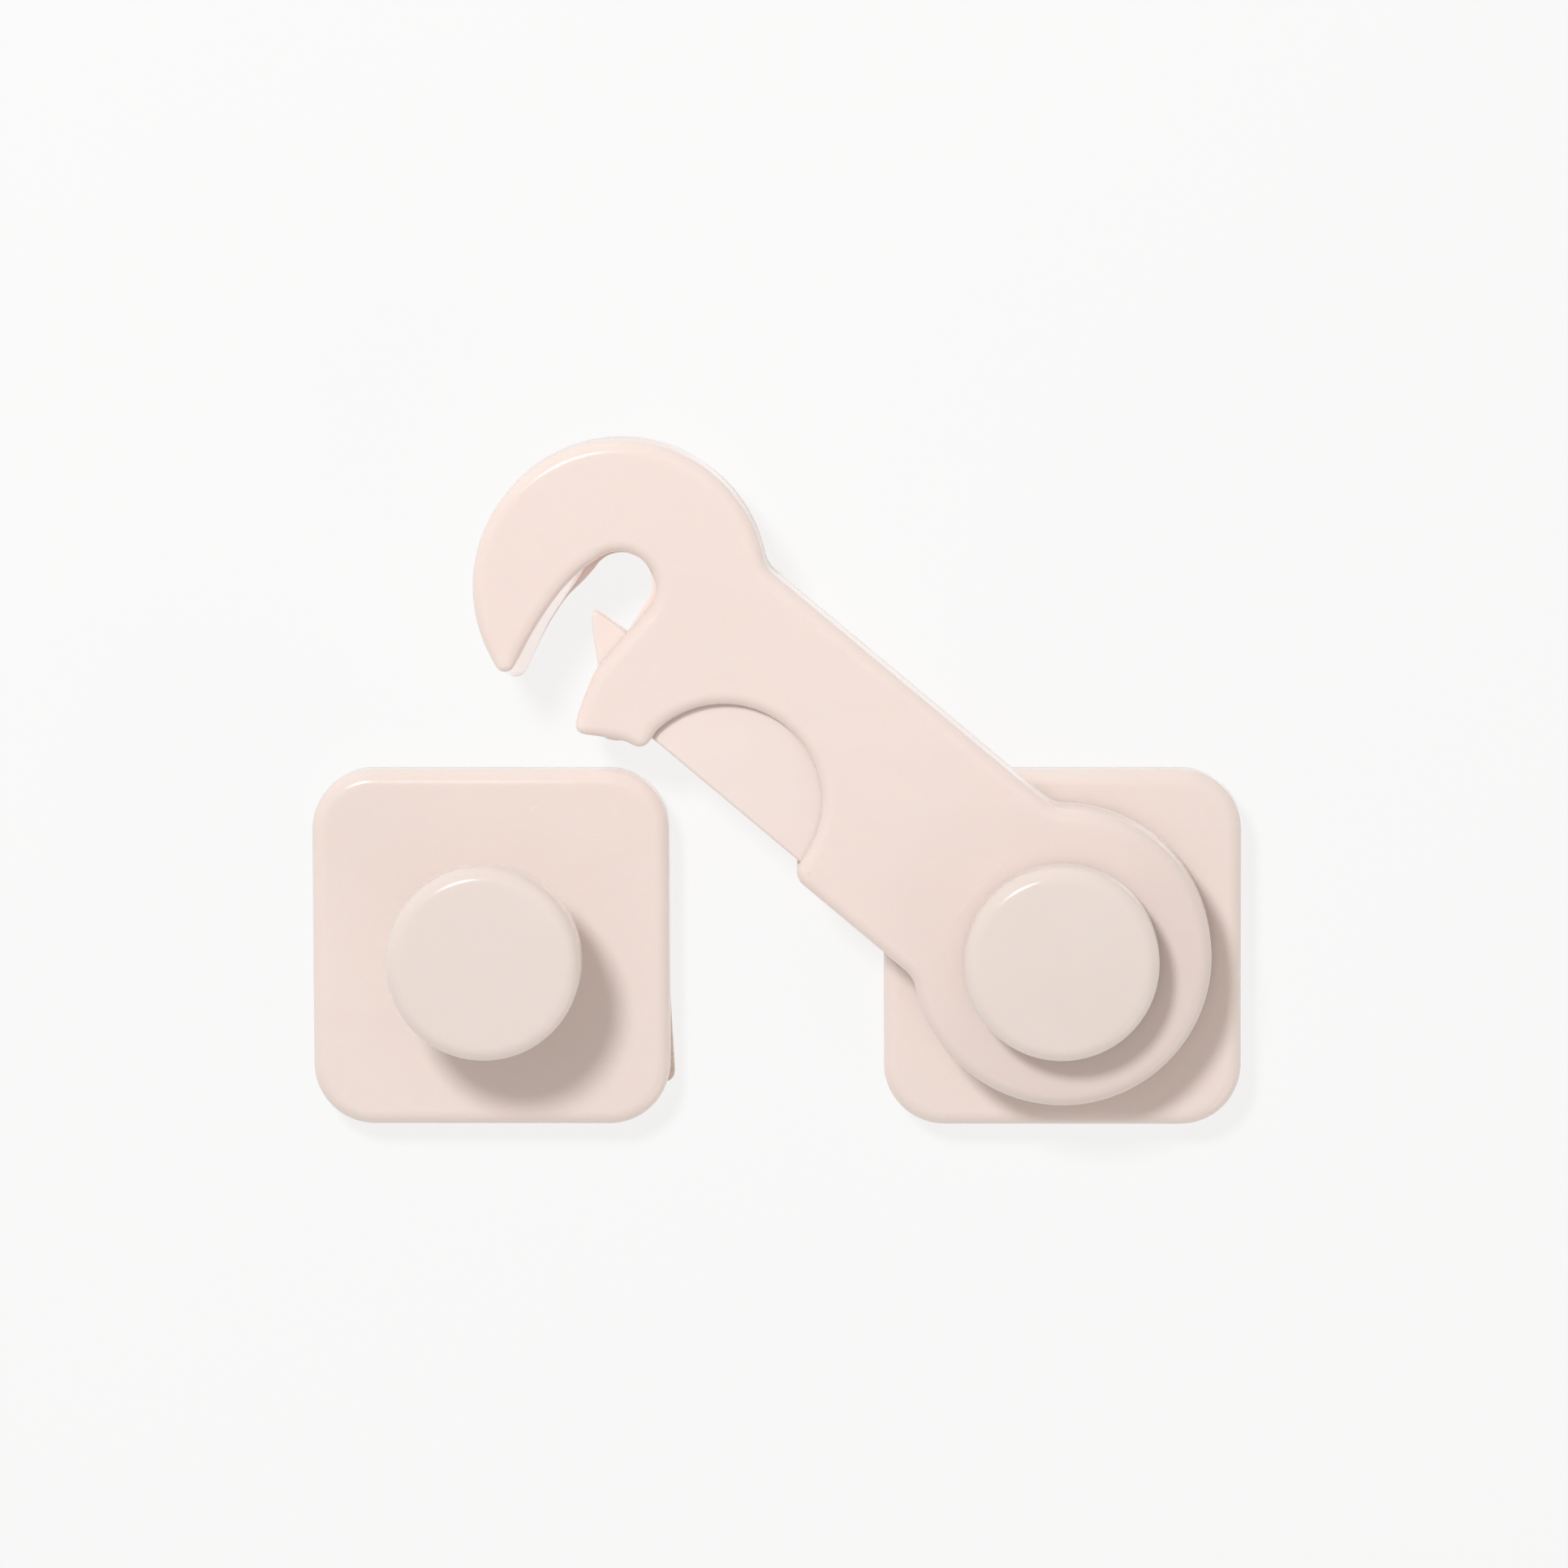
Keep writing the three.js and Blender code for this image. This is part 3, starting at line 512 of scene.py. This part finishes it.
def plastic(name, colour, rough=0.27, seed=0.0, extra=None, painted_shade=None):
    """Glossy moulded plastic: faint flow marks and mottling, orange peel, fine handling scratches, a few specks, and
    where painted_shade is given, painted shade that darkens the colour along a line.
    """
    m = Nodes(name)
    co = m.vmath("ADD", m.co, (seed, seed * 0.7, seed * 0.3))
    wide = m.noise(38, 3, 0.55, co)
    flow = m.noise(60, 4, 0.6, m.vmath("MULTIPLY", co, (0.35, 1.6, 1.0)), 0.8)
    grain = m.noise(2600, 2, 0.6, co)
    c = m.mix(m.ramp(wide, 0.35, 0.7), shade(colour, 0.99, (1.0, 0.998, 0.995)), shade(colour, 1.006))
    c = m.mix(m.math("MULTIPLY", m.ramp(flow, 0.45, 0.75), 0.4), c, shade(colour, 0.975, (1.0, 0.994, 0.988)))
    c = m.mix(m.math("MULTIPLY", grain, 0.10), c, shade(colour, 0.93))
    # specks: a few cells hold one, a tenth of a millimetre across
    v = m.voronoi(74, co=co)
    rare = m.math("GREATER_THAN", m.vmath("DOT_PRODUCT", v.outputs["Color"], (0.5, 0.5, 0.0)), 0.80)
    speck = m.math("MULTIPLY", m.ramp(v.outputs["Distance"], 0.011, 0.006), rare)
    c = m.mix(m.math("MULTIPLY", speck, 0.75), c, (0.30, 0.23, 0.19, 1))
    if painted_shade:
        # painted shade: the colour greys a little along a line, from near to far (mm along a direction in the part's
        # own axes), as if the light fell off that way
        way, near, far, low = painted_shade
        along = m.vmath("DOT_PRODUCT", m.co, way)
        c = m.mix(m.ramp(along, near * MM, far * MM), c, shade(colour, low, (0.99, 1.0, 1.0)))
    m.link(c, m.bsdf.inputs["Base Color"])
    # scratches: thin edges of long cells, kept to patches
    s1 = m.voronoi(150, "DISTANCE_TO_EDGE", m.vmath("MULTIPLY", co, (0.22, 1.7, 1.0)))
    s2 = m.voronoi(120, "DISTANCE_TO_EDGE", m.vmath("MULTIPLY", co, (1.5, 0.3, 1.0)))
    line = m.math("MAXIMUM", m.ramp(s1.outputs["Distance"], 0.010, 0.002), m.ramp(s2.outputs["Distance"], 0.008, 0.002))
    patch = m.ramp(m.noise(95, 2, 0.5, co), 0.56, 0.68)
    scratch = m.math("MULTIPLY", line, patch)
    r = m.math("ADD", m.ramp(m.noise(120, 4, 0.65, co), 0.3, 0.75, rough - 0.035, rough + 0.055), m.math("MULTIPLY", scratch, 0.12))
    m.link(r, m.bsdf.inputs["Roughness"])
    h = m.math("MULTIPLY", m.noise(1300, 1, 0.5, co), 0.03)
    h = m.math("ADD", h, m.math("MULTIPLY", m.noise(170, 1, 0.5, co), 0.30))
    h = m.math("ADD", h, m.math("MULTIPLY", m.noise(55, 1, 0.5, co), 1.5))
    h = m.math("SUBTRACT", h, m.math("MULTIPLY", scratch, 0.12))
    if extra:
        h = m.math("ADD", h, extra(m))
    m.link(m.bump(h, 0.000012), m.bsdf.inputs["Normal"])
    b = m.bsdf.inputs
    b["IOR"].default_value = 1.49
    b["Specular IOR Level"].default_value = 0.28
    b["Sheen Weight"].default_value = 0.25
    b["Sheen Roughness"].default_value = 0.30
    b["Sheen Tint"].default_value = (1.0, 0.97, 0.97, 1.0)
    b["Subsurface Weight"].default_value = 0.22
    b["Subsurface Radius"].default_value = (1.0, 0.52, 0.36)
    b["Subsurface Scale"].default_value = 0.0018
    return m.mat


def arm_marks_and_painted_glow(m):
    """Sinks over the screw and pin bosses and the weld lines of the arm's face, in micrometres times 1/12; also paints
    a glow, an emission on the claw's inner wall.
    """
    turn = m.t.nodes.new("ShaderNodeVectorRotate")
    turn.rotation_type = "Z_AXIS"
    turn.inputs["Angle"].default_value = -ARM_TURN
    m.link(m.co, turn.inputs["Vector"])
    own = turn.outputs[0]
    flat = m.vmath("MULTIPLY", own, (1, 1, 0))
    total = None
    for u, v, r, d in [(-10.4, -1, 3.4, 1.6), (9.2, 11.7, 2.6, 1.0), (47, -7.4, 3.4, 1.6), (47, 7.4, 3.4, 1.6), (3.4, -7.6, 3.0, 1.3)]:
        k = m.ramp(m.vmath("DISTANCE", flat, ((SPACING - u) * MM, v * MM, 0)), 0, r * MM, -d, 0)
        total = k if total is None else m.math("ADD", total, k)
    sep = m.t.nodes.new("ShaderNodeSeparateXYZ")
    m.link(own, sep.inputs[0])
    x, y = sep.outputs[0], sep.outputs[1]
    for at, low, high, d, w in [(11.9, -6.0, 5.4, 1.5, 0.35), (28.0, -9.0, 1.0, 0.7, 0.5)]:
        bend = m.math("MULTIPLY", m.math("MULTIPLY", y, y), 10.0)
        off = m.math("ABSOLUTE", m.math("SUBTRACT", m.math("ADD", x, bend), at * MM))
        line = m.ramp(off, w * MM, 0.0)
        mask = m.math("MULTIPLY", m.ramp(y, (low - 1.5) * MM, (low + 1.5) * MM), m.ramp(y, (high + 1.5) * MM, (high - 1.5) * MM))
        total = m.math("ADD", total, m.math("MULTIPLY", m.math("MULTIPLY", line, mask), d))
    # painted light: an emission on the claw's inner wall, below the face, that brightens it as if light came through
    # the thin claw
    claw = m.vmath("MULTIPLY", m.vmath("SUBTRACT", flat, ((SPACING + 3.8) * MM, 8.0 * MM, 0)), (2.0, 1.0, 1.0))
    painted_glow = m.math("MULTIPLY", m.ramp(m.vmath("DISTANCE", claw, (0, 0, 0)), 8.6 * MM, 7.0 * MM), m.ramp(sep.outputs[2], 14.1 * MM, 13.6 * MM))
    m.bsdf.inputs["Emission Color"].default_value = (0.90, 0.97, 1.0, 1)
    m.link(m.math("MULTIPLY", painted_glow, 0.24), m.bsdf.inputs["Emission Strength"])
    return total


ARM_RGB = lin(244, 228, 221)
BASE_RGB = lin(240, 226, 219)
CAP_RGB = lin(235, 223, 216)
# the arm's colour holds painted shade toward the lower right and a painted glow on the claw's inner wall
M_ARM = plastic("arm_plastic", ARM_RGB, 0.19, 0.013, arm_marks_and_painted_glow, ((0.64, -0.77, 0.0), -24.0, 14.0, 0.87))
M_REAR = plastic("rear_plastic", ARM_RGB, 0.24, 0.051)
M_LEVER = plastic("lever_plastic", lin(244, 230, 224), 0.22, 0.087)
M_BASE = plastic("base_plastic", BASE_RGB, 0.18, 0.121)
M_PLATE = plastic("plate_plastic", shade(BASE_RGB, 1.02), 0.34, 0.171)
M_CAP = plastic("cap_plastic", CAP_RGB, 0.16, 0.203)


def foam_material():
    m = Nodes("foam_tape")
    v = m.voronoi(2600, "F1")
    big = m.noise(420, 3, 0.6)
    c = m.mix(m.ramp(big, 0.3, 0.7), lin(233, 216, 205), lin(243, 231, 222))
    c = m.mix(m.math("MULTIPLY", m.ramp(v.outputs["Distance"], 0.55, 0.1), 0.25), c, lin(214, 196, 184))
    m.link(c, m.bsdf.inputs["Base Color"])
    m.bsdf.inputs["Roughness"].default_value = 0.88
    m.bsdf.inputs["Subsurface Weight"].default_value = 0.15
    m.bsdf.inputs["Subsurface Scale"].default_value = 0.001
    h = m.math("ADD", v.outputs["Distance"], m.math("MULTIPLY", big, 0.8))
    m.link(m.bump(h, 0.00012, 0.8), m.bsdf.inputs["Normal"])
    return m.mat


def metal_material(name, colour, rough):
    m = Nodes(name)
    n = m.noise(420, 4, 0.6)
    brushed = m.noise(1400, 2, 0.5, m.scaled((1, 1, 0.08)))
    c = m.mix(m.ramp(n, 0.35, 0.7), shade(colour, 0.86), shade(colour, 1.08))
    m.link(c, m.bsdf.inputs["Base Color"])
    m.link(m.ramp(brushed, 0.3, 0.7, rough - 0.06, rough + 0.10), m.bsdf.inputs["Roughness"])
    m.link(m.bump(brushed, 0.00001, 0.7), m.bsdf.inputs["Normal"])
    m.bsdf.inputs["Metallic"].default_value = 1.0
    return m.mat


def nylon_material():
    m = Nodes("nylon")
    n = m.noise(300, 3, 0.6)
    m.link(m.mix(m.ramp(n, 0.3, 0.7), lin(236, 233, 226), lin(244, 242, 237)), m.bsdf.inputs["Base Color"])
    m.link(m.ramp(m.noise(900, 2, 0.5), 0.3, 0.7, 0.42, 0.55), m.bsdf.inputs["Roughness"])
    m.link(m.bump(m.noise(1800, 2, 0.5), 0.00001), m.bsdf.inputs["Normal"])
    m.bsdf.inputs["Subsurface Weight"].default_value = 0.2
    m.bsdf.inputs["Subsurface Scale"].default_value = 0.001
    return m.mat


M_FOAM = foam_material()
M_STEEL = metal_material("zinc_steel", lin(196, 198, 202), 0.30)
M_NYLON = nylon_material()

# ------------------------------------------------------------------ bases, pads, plates
R_EDGE = 1.7
PEG_XY = 13.0


def base(name, x, post_r, flare):
    ob = slab(name, rounded_square(40, 6.8, x), BASE_Z0, BASE_Z1, R_EDGE, 0.15, 10)
    if flare:
        prof = [(0, 6.0), (post_r + flare, 6.0), *fillet(post_r + flare, BASE_Z1 + flare, flare, 270, 180, 8),
                (post_r, 15.1), *fillet(post_r - 0.4, 15.1, 0.4, 0, 90, 4), (0, 15.5)]
    else:
        prof = [(0, 6.0), (post_r, 6.0), (post_r, 15.1), *fillet(post_r - 0.4, 15.1, 0.4, 0, 90, 4), (0, 15.5)]
    boolean(ob, lathe(name + "_post", prof, x, 0, 96), "UNION")
    # hollow below, with ribs, peg sockets and the post screw's boss
    roof = BASE_Z1 - 1.8
    boolean(ob, slab("t", rounded_square(36.6, 5.1, x), 1.3, roof, 0.05, 0.05, 2))
    boolean(ob, cyl("t", x, 0, 6.4, BASE_Z0, roof + 0.4, 72), "UNION")
    boolean(ob, box_mm("t", x - 18.6, x + 18.6, -0.7, 0.7, BASE_Z0 + 0.2, roof + 0.4), "UNION")
    boolean(ob, box_mm("t", x - 0.7, x + 0.7, -18.6, 18.6, BASE_Z0 + 0.2, roof + 0.4), "UNION")
    for a, b in ((1, 1), (-1, 1), (-1, -1), (1, -1)):
        boolean(ob, cyl("t", x + a * PEG_XY, b * PEG_XY, 2.5, BASE_Z0 + 0.2, roof + 0.4, 40), "UNION")
        boolean(ob, cyl("t", x + a * PEG_XY, b * PEG_XY, 1.32, 1.3, roof, 32))
    boolean(ob, cyl("t", x, 0, 1.65, 1.3, 16.5, 40))
    boolean(ob, cyl("t", x, 0, 3.15, 1.3, 4.3, 48))
    return finish_mesh(ob)


CATCH_X = -SPACING
place(base("catch_base_moulding", CATCH_X, 3.0, 1.0), "bases", "catch_base", M_BASE)
place(base("pivot_base_moulding", 0.0, 4.0, 0.0), "bases", "pivot_base", M_BASE)

for side, x, pad in (("catch", CATCH_X, (3.06, -0.25, 3.2)), ("pivot", 0.0, (-0.4, 0.3, -0.8))):
    plate = slab(side + "_plate_moulding", rounded_square(39.5, 6.55, x), 1.05, 2.2, 0.18, 0.3, 4)
    for a, b in ((1, 1), (-1, 1), (-1, -1), (1, -1)):
        boolean(plate, cyl("t", x + a * PEG_XY, b * PEG_XY, 1.2, 1.8, 4.2, 32), "UNION")
    finish_mesh(plate)
    place(plate, "bases", side + "_back_plate", M_PLATE)
    outline = rounded_square(33, 1.2, x + pad[0], pad[1], pad[2], 0.25)
    foam = slab(side + "_foam_tape", outline, 0.0, 1.0, 0.12, 0.08, 3)
    # the soft edge swells and dips a little between the two faces
    for v in foam.data.vertices:
        z = v.co.z / MM
        side_on = max(0.0, 1 - abs(z - 0.5) / 0.5)
        d = Vector((v.co.x - (x + pad[0]) * MM, v.co.y - pad[1] * MM, 0))
        if d.length > 0.016 and side_on > 0:
            wob = 0.03 * math.sin(v.co.x * 2100) * math.cos(v.co.y * 1700) - 0.06
            v.co += d.normalized() * wob * side_on * MM
    place(finish_mesh(foam, 50), "bases", side + "_adhesive_pad", M_FOAM)

# ------------------------------------------------------------------ caps
CAP_R, CAP_Z0, CAP_Z1, CAP_E = 10.8, 15.9, 21.9, 1.75
DOME = 0.22


def cap(name, x):
    top_z = CAP_Z1 - DOME
    prof = [(0, 15.6), (3.6, 15.6), (4.1, CAP_Z0), *fillet(7.45, CAP_Z0 + 0.15, 0.15, 270, 360, 3), (7.8, CAP_Z0 + 3.3),
            (7.95, CAP_Z0 + 3.4), (8.85, CAP_Z0 + 3.4), (9.0, CAP_Z0 + 3.3), *fillet(9.35, CAP_Z0 + 0.15, 0.15, 180, 270, 3),
            *fillet(CAP_R - 0.4, CAP_Z0 + 0.4, 0.4, 270, 360, 6), (CAP_R, (CAP_Z0 + top_z - CAP_E) / 2)]
    # the upper edge rolls over into a very slight dome
    end = 90 - math.degrees(math.atan2(2 * DOME, CAP_R - CAP_E))
    prof += fillet(CAP_R - CAP_E, top_z - CAP_E, CAP_E, 0, end, 14)
    r0, z0 = prof[-1]
    for f in np.linspace(0, 1, 14)[1:-1]:
        r = r0 * (1 - f)
        prof.append((r, CAP_Z1 - (CAP_Z1 - z0) * (r / r0) ** 2))
    prof.append((0, CAP_Z1))
    ob = lathe(name, prof, x, 0, 192)
    boolean(ob, cyl("t", x, 0, 1.52, 14.6, 19.6, 40))
    return finish_mesh(ob)


place(cap("catch_knob", CATCH_X), "bases", "catch_cap", M_CAP)
place(cap("pivot_knob", 0.0), "bases", "pivot_cap", M_CAP)

washer = finish_mesh(lathe("nylon_washer", [(4.15, 6.7), (4.25, 6.6), (7.85, 6.6), (8.0, 6.7), (8.0, 7.1), (7.85, 7.2),
                                             (4.25, 7.2), (4.15, 7.1)], 0, 0, 96))
place(washer, "bases", "pivot_washer", M_NYLON)


# ------------------------------------------------------------------ the arm
def hollow(name, z0, z1):
    a = cyl(name, SPACING, 0, HOOK_R - WALL, z0, z1, 96)
    boolean(a, box_mm("t", 0, SPACING, -(BAR_TOP - WALL), BAR_LOW - WALL, z0, z1), "UNION")
    boolean(a, cyl("t", 0, 0, DISC_R - WALL, z0, z1, 96), "UNION")
    boolean(a, prism("t", mouth_void(1.3), z0 - 1, z1 + 1))
    boolean(a, prism("t", in_arm([(5.2, 14.6), (7.2, 13.5), (10, 12.0), (12, 11.2), (12.0, 22), (5, 22)]), z0 - 1, z1 + 1))
    return a


def claw_ramp():
    """The claw's inner wall leans out towards the seam, so that it leads the post in."""
    tip = lambda u, v, r: arc(u, v, r, 90, -10, 8)
    wide = tip(-3.2, 14.65, 1.25) + spline([(-2.2, 13.4), (-2.76, 11.3), (-3.4, 8.8), (-3.86, 5.1), (-4.0, 3.0), (-4.3, 1.2)], 60)
    slim = tip(-4.42, 14.54, 1.08) + spline([(-3.55, 13.2), (-4.03, 10.9), (-4.46, 8.2), (-4.72, 5.1), (-4.68, 3.0), (-4.5, 1.2)], 60)
    back = [(-5.2, 1.2), (-5.5, 5.1), (-5.2, 9.0), (-4.95, 12.5), (-5.0, 15.0)]
    a, b = np.array(in_arm(wide + back)), np.array(in_arm(slim + back))
    if signed_area(a) < 0:
        a, b = a[::-1], b[::-1]
    n = len(a)
    verts = [(x * MM, y * MM, SHELL_Z0 * MM) for x, y in a] + [(x * MM, y * MM, 13.95 * MM) for x, y in b]
    faces = [(i, (i + 1) % n, n + (i + 1) % n, n + i) for i in range(n)]
    faces += [tuple(reversed(orient(f, a))) for f in cap_faces(a)]
    faces += [tuple(n + i for i in orient(f, b)) for f in cap_faces(b)]
    return new_object("ramp", verts, faces)


shell = slab("arm_face_shell", arm_outline(False), SHELL_Z0, ARM_Z1, 1.5, 0.12, 10)
boolean(shell, hollow("low", 7.9, 11.8))
boolean(shell, hollow("high", 11.75, ROOF_Z))
boolean(shell, claw_ramp(), "UNION")
boolean(shell, box_mm("t", SPACING - 9, SPACING - 2.5, 3.2, 9.6, 7.9, 11.8))
boolean(shell, cyl("t", 0, 0, 4.1, 8, 16, 64))
boolean(shell, cyl("t", 0, 0, 8.3, 14.7, 16, 96))
for u, v in ARM_SCREWS:
    r = 2.2 if 5 < u < 12 else 2.9
    boolean(shell, cyl("t", SPACING - u, v, r, SHELL_Z0, ROOF_Z + 0.4, 40), "UNION")
    boolean(shell, cyl("t", SPACING - u, v, 1.09, 7.9, 13.3, 28))
boolean(shell, cyl("t", SPACING - LEVER[0], LEVER[1], 2.4, 11.85, ROOF_Z + 0.4, 40), "UNION")
boolean(shell, cyl("t", SPACING - LEVER[0], LEVER[1], 1.31, 11.6, 13.3, 40))
boolean(shell, cyl("t", 0, 0, 6.1, SHELL_Z0, ROOF_Z + 0.4, 64), "UNION")
boolean(shell, cyl("t", 0, 0, 4.1, 8, 16, 64))
place(finish_mesh(shell), "arm", "arm_front_shell", M_ARM, True)

rear = slab("arm_back_shell", arm_outline(True), ARM_Z0, ARM_SEAM, 0.15, 0.5, 3)
rear_bottom = 0.45
for u, v in ARM_SCREWS:
    boolean(rear, cyl("t", SPACING - u, v, 2.15, 6.3, 8.3, 48))
    boolean(rear, cyl("t", SPACING - u, v, 1.15, 6.3, 9, 28))
boolean(rear, cyl("t", SPACING - LEVER[0], LEVER[1], 1.31, 7.9, 9, 40))
boolean(rear, cyl("t", 0, 0, 4.1, 7, 9, 64))
# ejector marks on the back
for u, v in [(-2, -11.2), (21, -6), (21, 3.5), (37, -1), (30, -8.5), (-11.2, 7.5), (54, 11), (54, -11)]:
    boolean(rear, cyl("t", SPACING - u, v, 1.5, 6.5, 7.38, 40))
place(finish_mesh(rear), "arm", "arm_rear_shell", M_REAR, True)

lever = slab("finger_lever", lever_outline(), 9.1, 11.6, 0.4, 0.2, 6)
plate = [(12.9, 10.7), *arc(RECESS[0], RECESS[1], 12.6, -0.4, -172)]
boolean(lever, slab("plate", outline_of(in_arm(plate), 0.2, 0.1), 10.6, 13.2, 0.45, 0.1, 6), "UNION")
boolean(lever, box_mm("seat", SPACING - 19.0, SPACING - 14.6, -2.4, -1.0, 9.5, 13.15), "UNION")
boolean(lever, cyl("t", SPACING - LEVER[0], LEVER[1], 1.33, 8, 13, 48), "DIFFERENCE", "EXACT")
place(finish_mesh(lever), "lever", "release_lever", M_LEVER, True)

for i, (u, v) in enumerate(ARM_SCREWS):
    x, y = SPACING - u, v
    s = lathe(f"shell_screw_{i + 1}", [(0, 7.4), (1.45, 7.4), *fillet(1.65, 7.7, 0.3, 270, 360, 5), (1.95, 8.05), (1.95, 8.2),
                                       (1.0, 8.2), (1.0, 12.4), (0.3, 13.1), (0, 13.1)], x, y, 48)
    turn = math.radians(17 + 31 * i)
    for w, h in ((1.15, 0.22), (0.22, 1.15)):
        pts = [(x + a * math.cos(turn) - b * math.sin(turn), y + a * math.sin(turn) + b * math.cos(turn))
               for a, b in ((-w, -h), (w, -h), (w, h), (-w, h))]
        boolean(s, prism("t", pts, 7.0, 7.95))
    place(finish_mesh(s, 30), "arm", f"arm_screw_{i + 1}", M_STEEL, True)

# CAD pieces that stay: inside or under others, in metal
def coil(name, u, v0, v1, z, radius, wire, turns, sides=10, steps=30):
    """A compression spring along v with closed end turns, in the arm's own axes."""
    path = []
    n = int(turns * steps)
    for i in range(n + 1):
        t = i / n
        a = t * turns * 2 * math.pi
        s = t * 0.35 if t < 0.14 else 1 - (1 - t) * 0.35 if t > 0.86 else 0.049 + (t - 0.14) * (0.902 / 0.72)
        v = v0 + wire + 0.05 + s * (v1 - v0 - 2 * wire - 0.1)
        path.append((SPACING - u + radius * math.cos(a), v, z + radius * math.sin(a)))
    path = np.array(path)
    verts, faces = [], []
    for i, c in enumerate(path):
        t = path[min(i + 1, n)] - path[max(i - 1, 0)]
        t /= np.linalg.norm(t)
        out = np.array([c[0] - (SPACING - u), 0.0, c[2] - z]) / radius
        out -= t * out.dot(t)
        out /= np.linalg.norm(out)
        side = np.cross(t, out)
        for k in range(sides):
            b = 2 * math.pi * k / sides
            verts.append(tuple((c + wire * (math.cos(b) * out + math.sin(b) * side)) * MM))
    for i in range(n):
        for k in range(sides):
            j = (k + 1) % sides
            faces.append((i * sides + k, i * sides + j, (i + 1) * sides + j, (i + 1) * sides + k))
    faces.append(tuple(reversed(range(sides))))
    faces.append(tuple(n * sides + k for k in range(sides)))
    return new_object(name, verts, faces)


# the spring stands on the arm's long wall and is pressed together by the lever's seat
SPRING = (16.8, -10.55, -2.65, 11.2)
spring = finish_mesh(coil("pawl_spring", *SPRING, 1.65, 0.22, 5.5))
spring.data.transform(Matrix.Rotation(ARM_TURN, 4, "Z"))
spring.data.materials.clear()
spring.data.materials.append(M_STEEL)
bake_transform(spring)
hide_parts("lever_spring")

for n in ("catch_screw", "pivot_screw", "pivot_wave_washer", "lever_pin"):
    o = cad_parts[n]
    o.data.materials.clear()
    o.data.materials.append(M_STEEL)

# ------------------------------------------------------------------ stage
FLOOR_Z = -0.00005   # just under the pads
floor = new_object("floor", [(-4, -4, FLOOR_Z), (4, -4, FLOOR_Z), (4, 4, FLOOR_Z), (-4, 4, FLOOR_Z)], [(0, 1, 2, 3)])
fm = bpy.data.materials.new("floor")
fm.use_nodes = True
fb = next(n for n in fm.node_tree.nodes if n.type == "BSDF_PRINCIPLED")
fb.inputs["Base Color"].default_value = (0.16, 0.16, 0.16, 1)
fb.inputs["Roughness"].default_value = 0.9
fb.inputs["Specular IOR Level"].default_value = 0.1
fb.inputs["Emission Color"].default_value = (1, 1, 1, 1)
fb.inputs["Emission Strength"].default_value = 0.785
floor.data.materials.append(fm)

# ------------------------------------------------------------------ light
world = bpy.data.worlds.new("studio")
scene.world = world
world.use_nodes = True
bg = next(n for n in world.node_tree.nodes if n.type == "BACKGROUND")
bg.inputs["Color"].default_value = (1.0, 0.955, 0.915, 1)
bg.inputs["Strength"].default_value = 0.51

CENTRE = Vector((-0.03225, 0.0185, 0.008))


def area(name, azimuth_dir, elevation, distance, size, energy, colour=(1, 1, 1)):
    d = Vector((azimuth_dir[0], azimuth_dir[1], 0)).normalized() * math.cos(math.radians(elevation))
    d.z = math.sin(math.radians(elevation))
    light = bpy.data.lights.new(name, "AREA")
    light.shape, light.size, light.energy, light.color = "DISK", size, energy, colour
    ob = bpy.data.objects.new(name, light)
    ob.location = CENTRE + d * distance
    ob.rotation_euler = (-d).to_track_quat("-Z", "Y").to_euler()
    scene.collection.objects.link(ob)
    return ob


area("key", (-0.53, 0.848), 60, 0.85, 0.165, 3.9, (0.985, 1.0, 1.02))
area("fill", (0.75, -0.66), 18, 0.8, 0.5, 0.8)

# ------------------------------------------------------------------ camera
cam = bpy.data.cameras.new("camera")
cam.sensor_width, cam.lens = 36.0, 220.0
cam.clip_start, cam.clip_end = 0.05, 10
view_mm = 175.43
distance = view_mm * MM * cam.lens / cam.sensor_width
camera = bpy.data.objects.new("camera", cam)
target = Vector((-0.0311, 0.0183, 0.0045))
tilt_y, tilt_x = math.radians(6.3), math.radians(1.8)
direction = Vector((math.tan(tilt_x), math.tan(tilt_y), 1)).normalized()
camera.location = target + direction * distance
z = direction
x = Vector((1, 0, 0)) - z * z.x
x.normalize()
y = z.cross(x)
camera.rotation_euler = Matrix((x, y, z)).transposed().to_euler()
scene.collection.objects.link(camera)
scene.camera = camera

scene.view_settings.view_transform = "Standard"
scene.view_settings.look = "None"
scene.view_settings.exposure = 0.0
scene.view_settings.gamma = 1.0
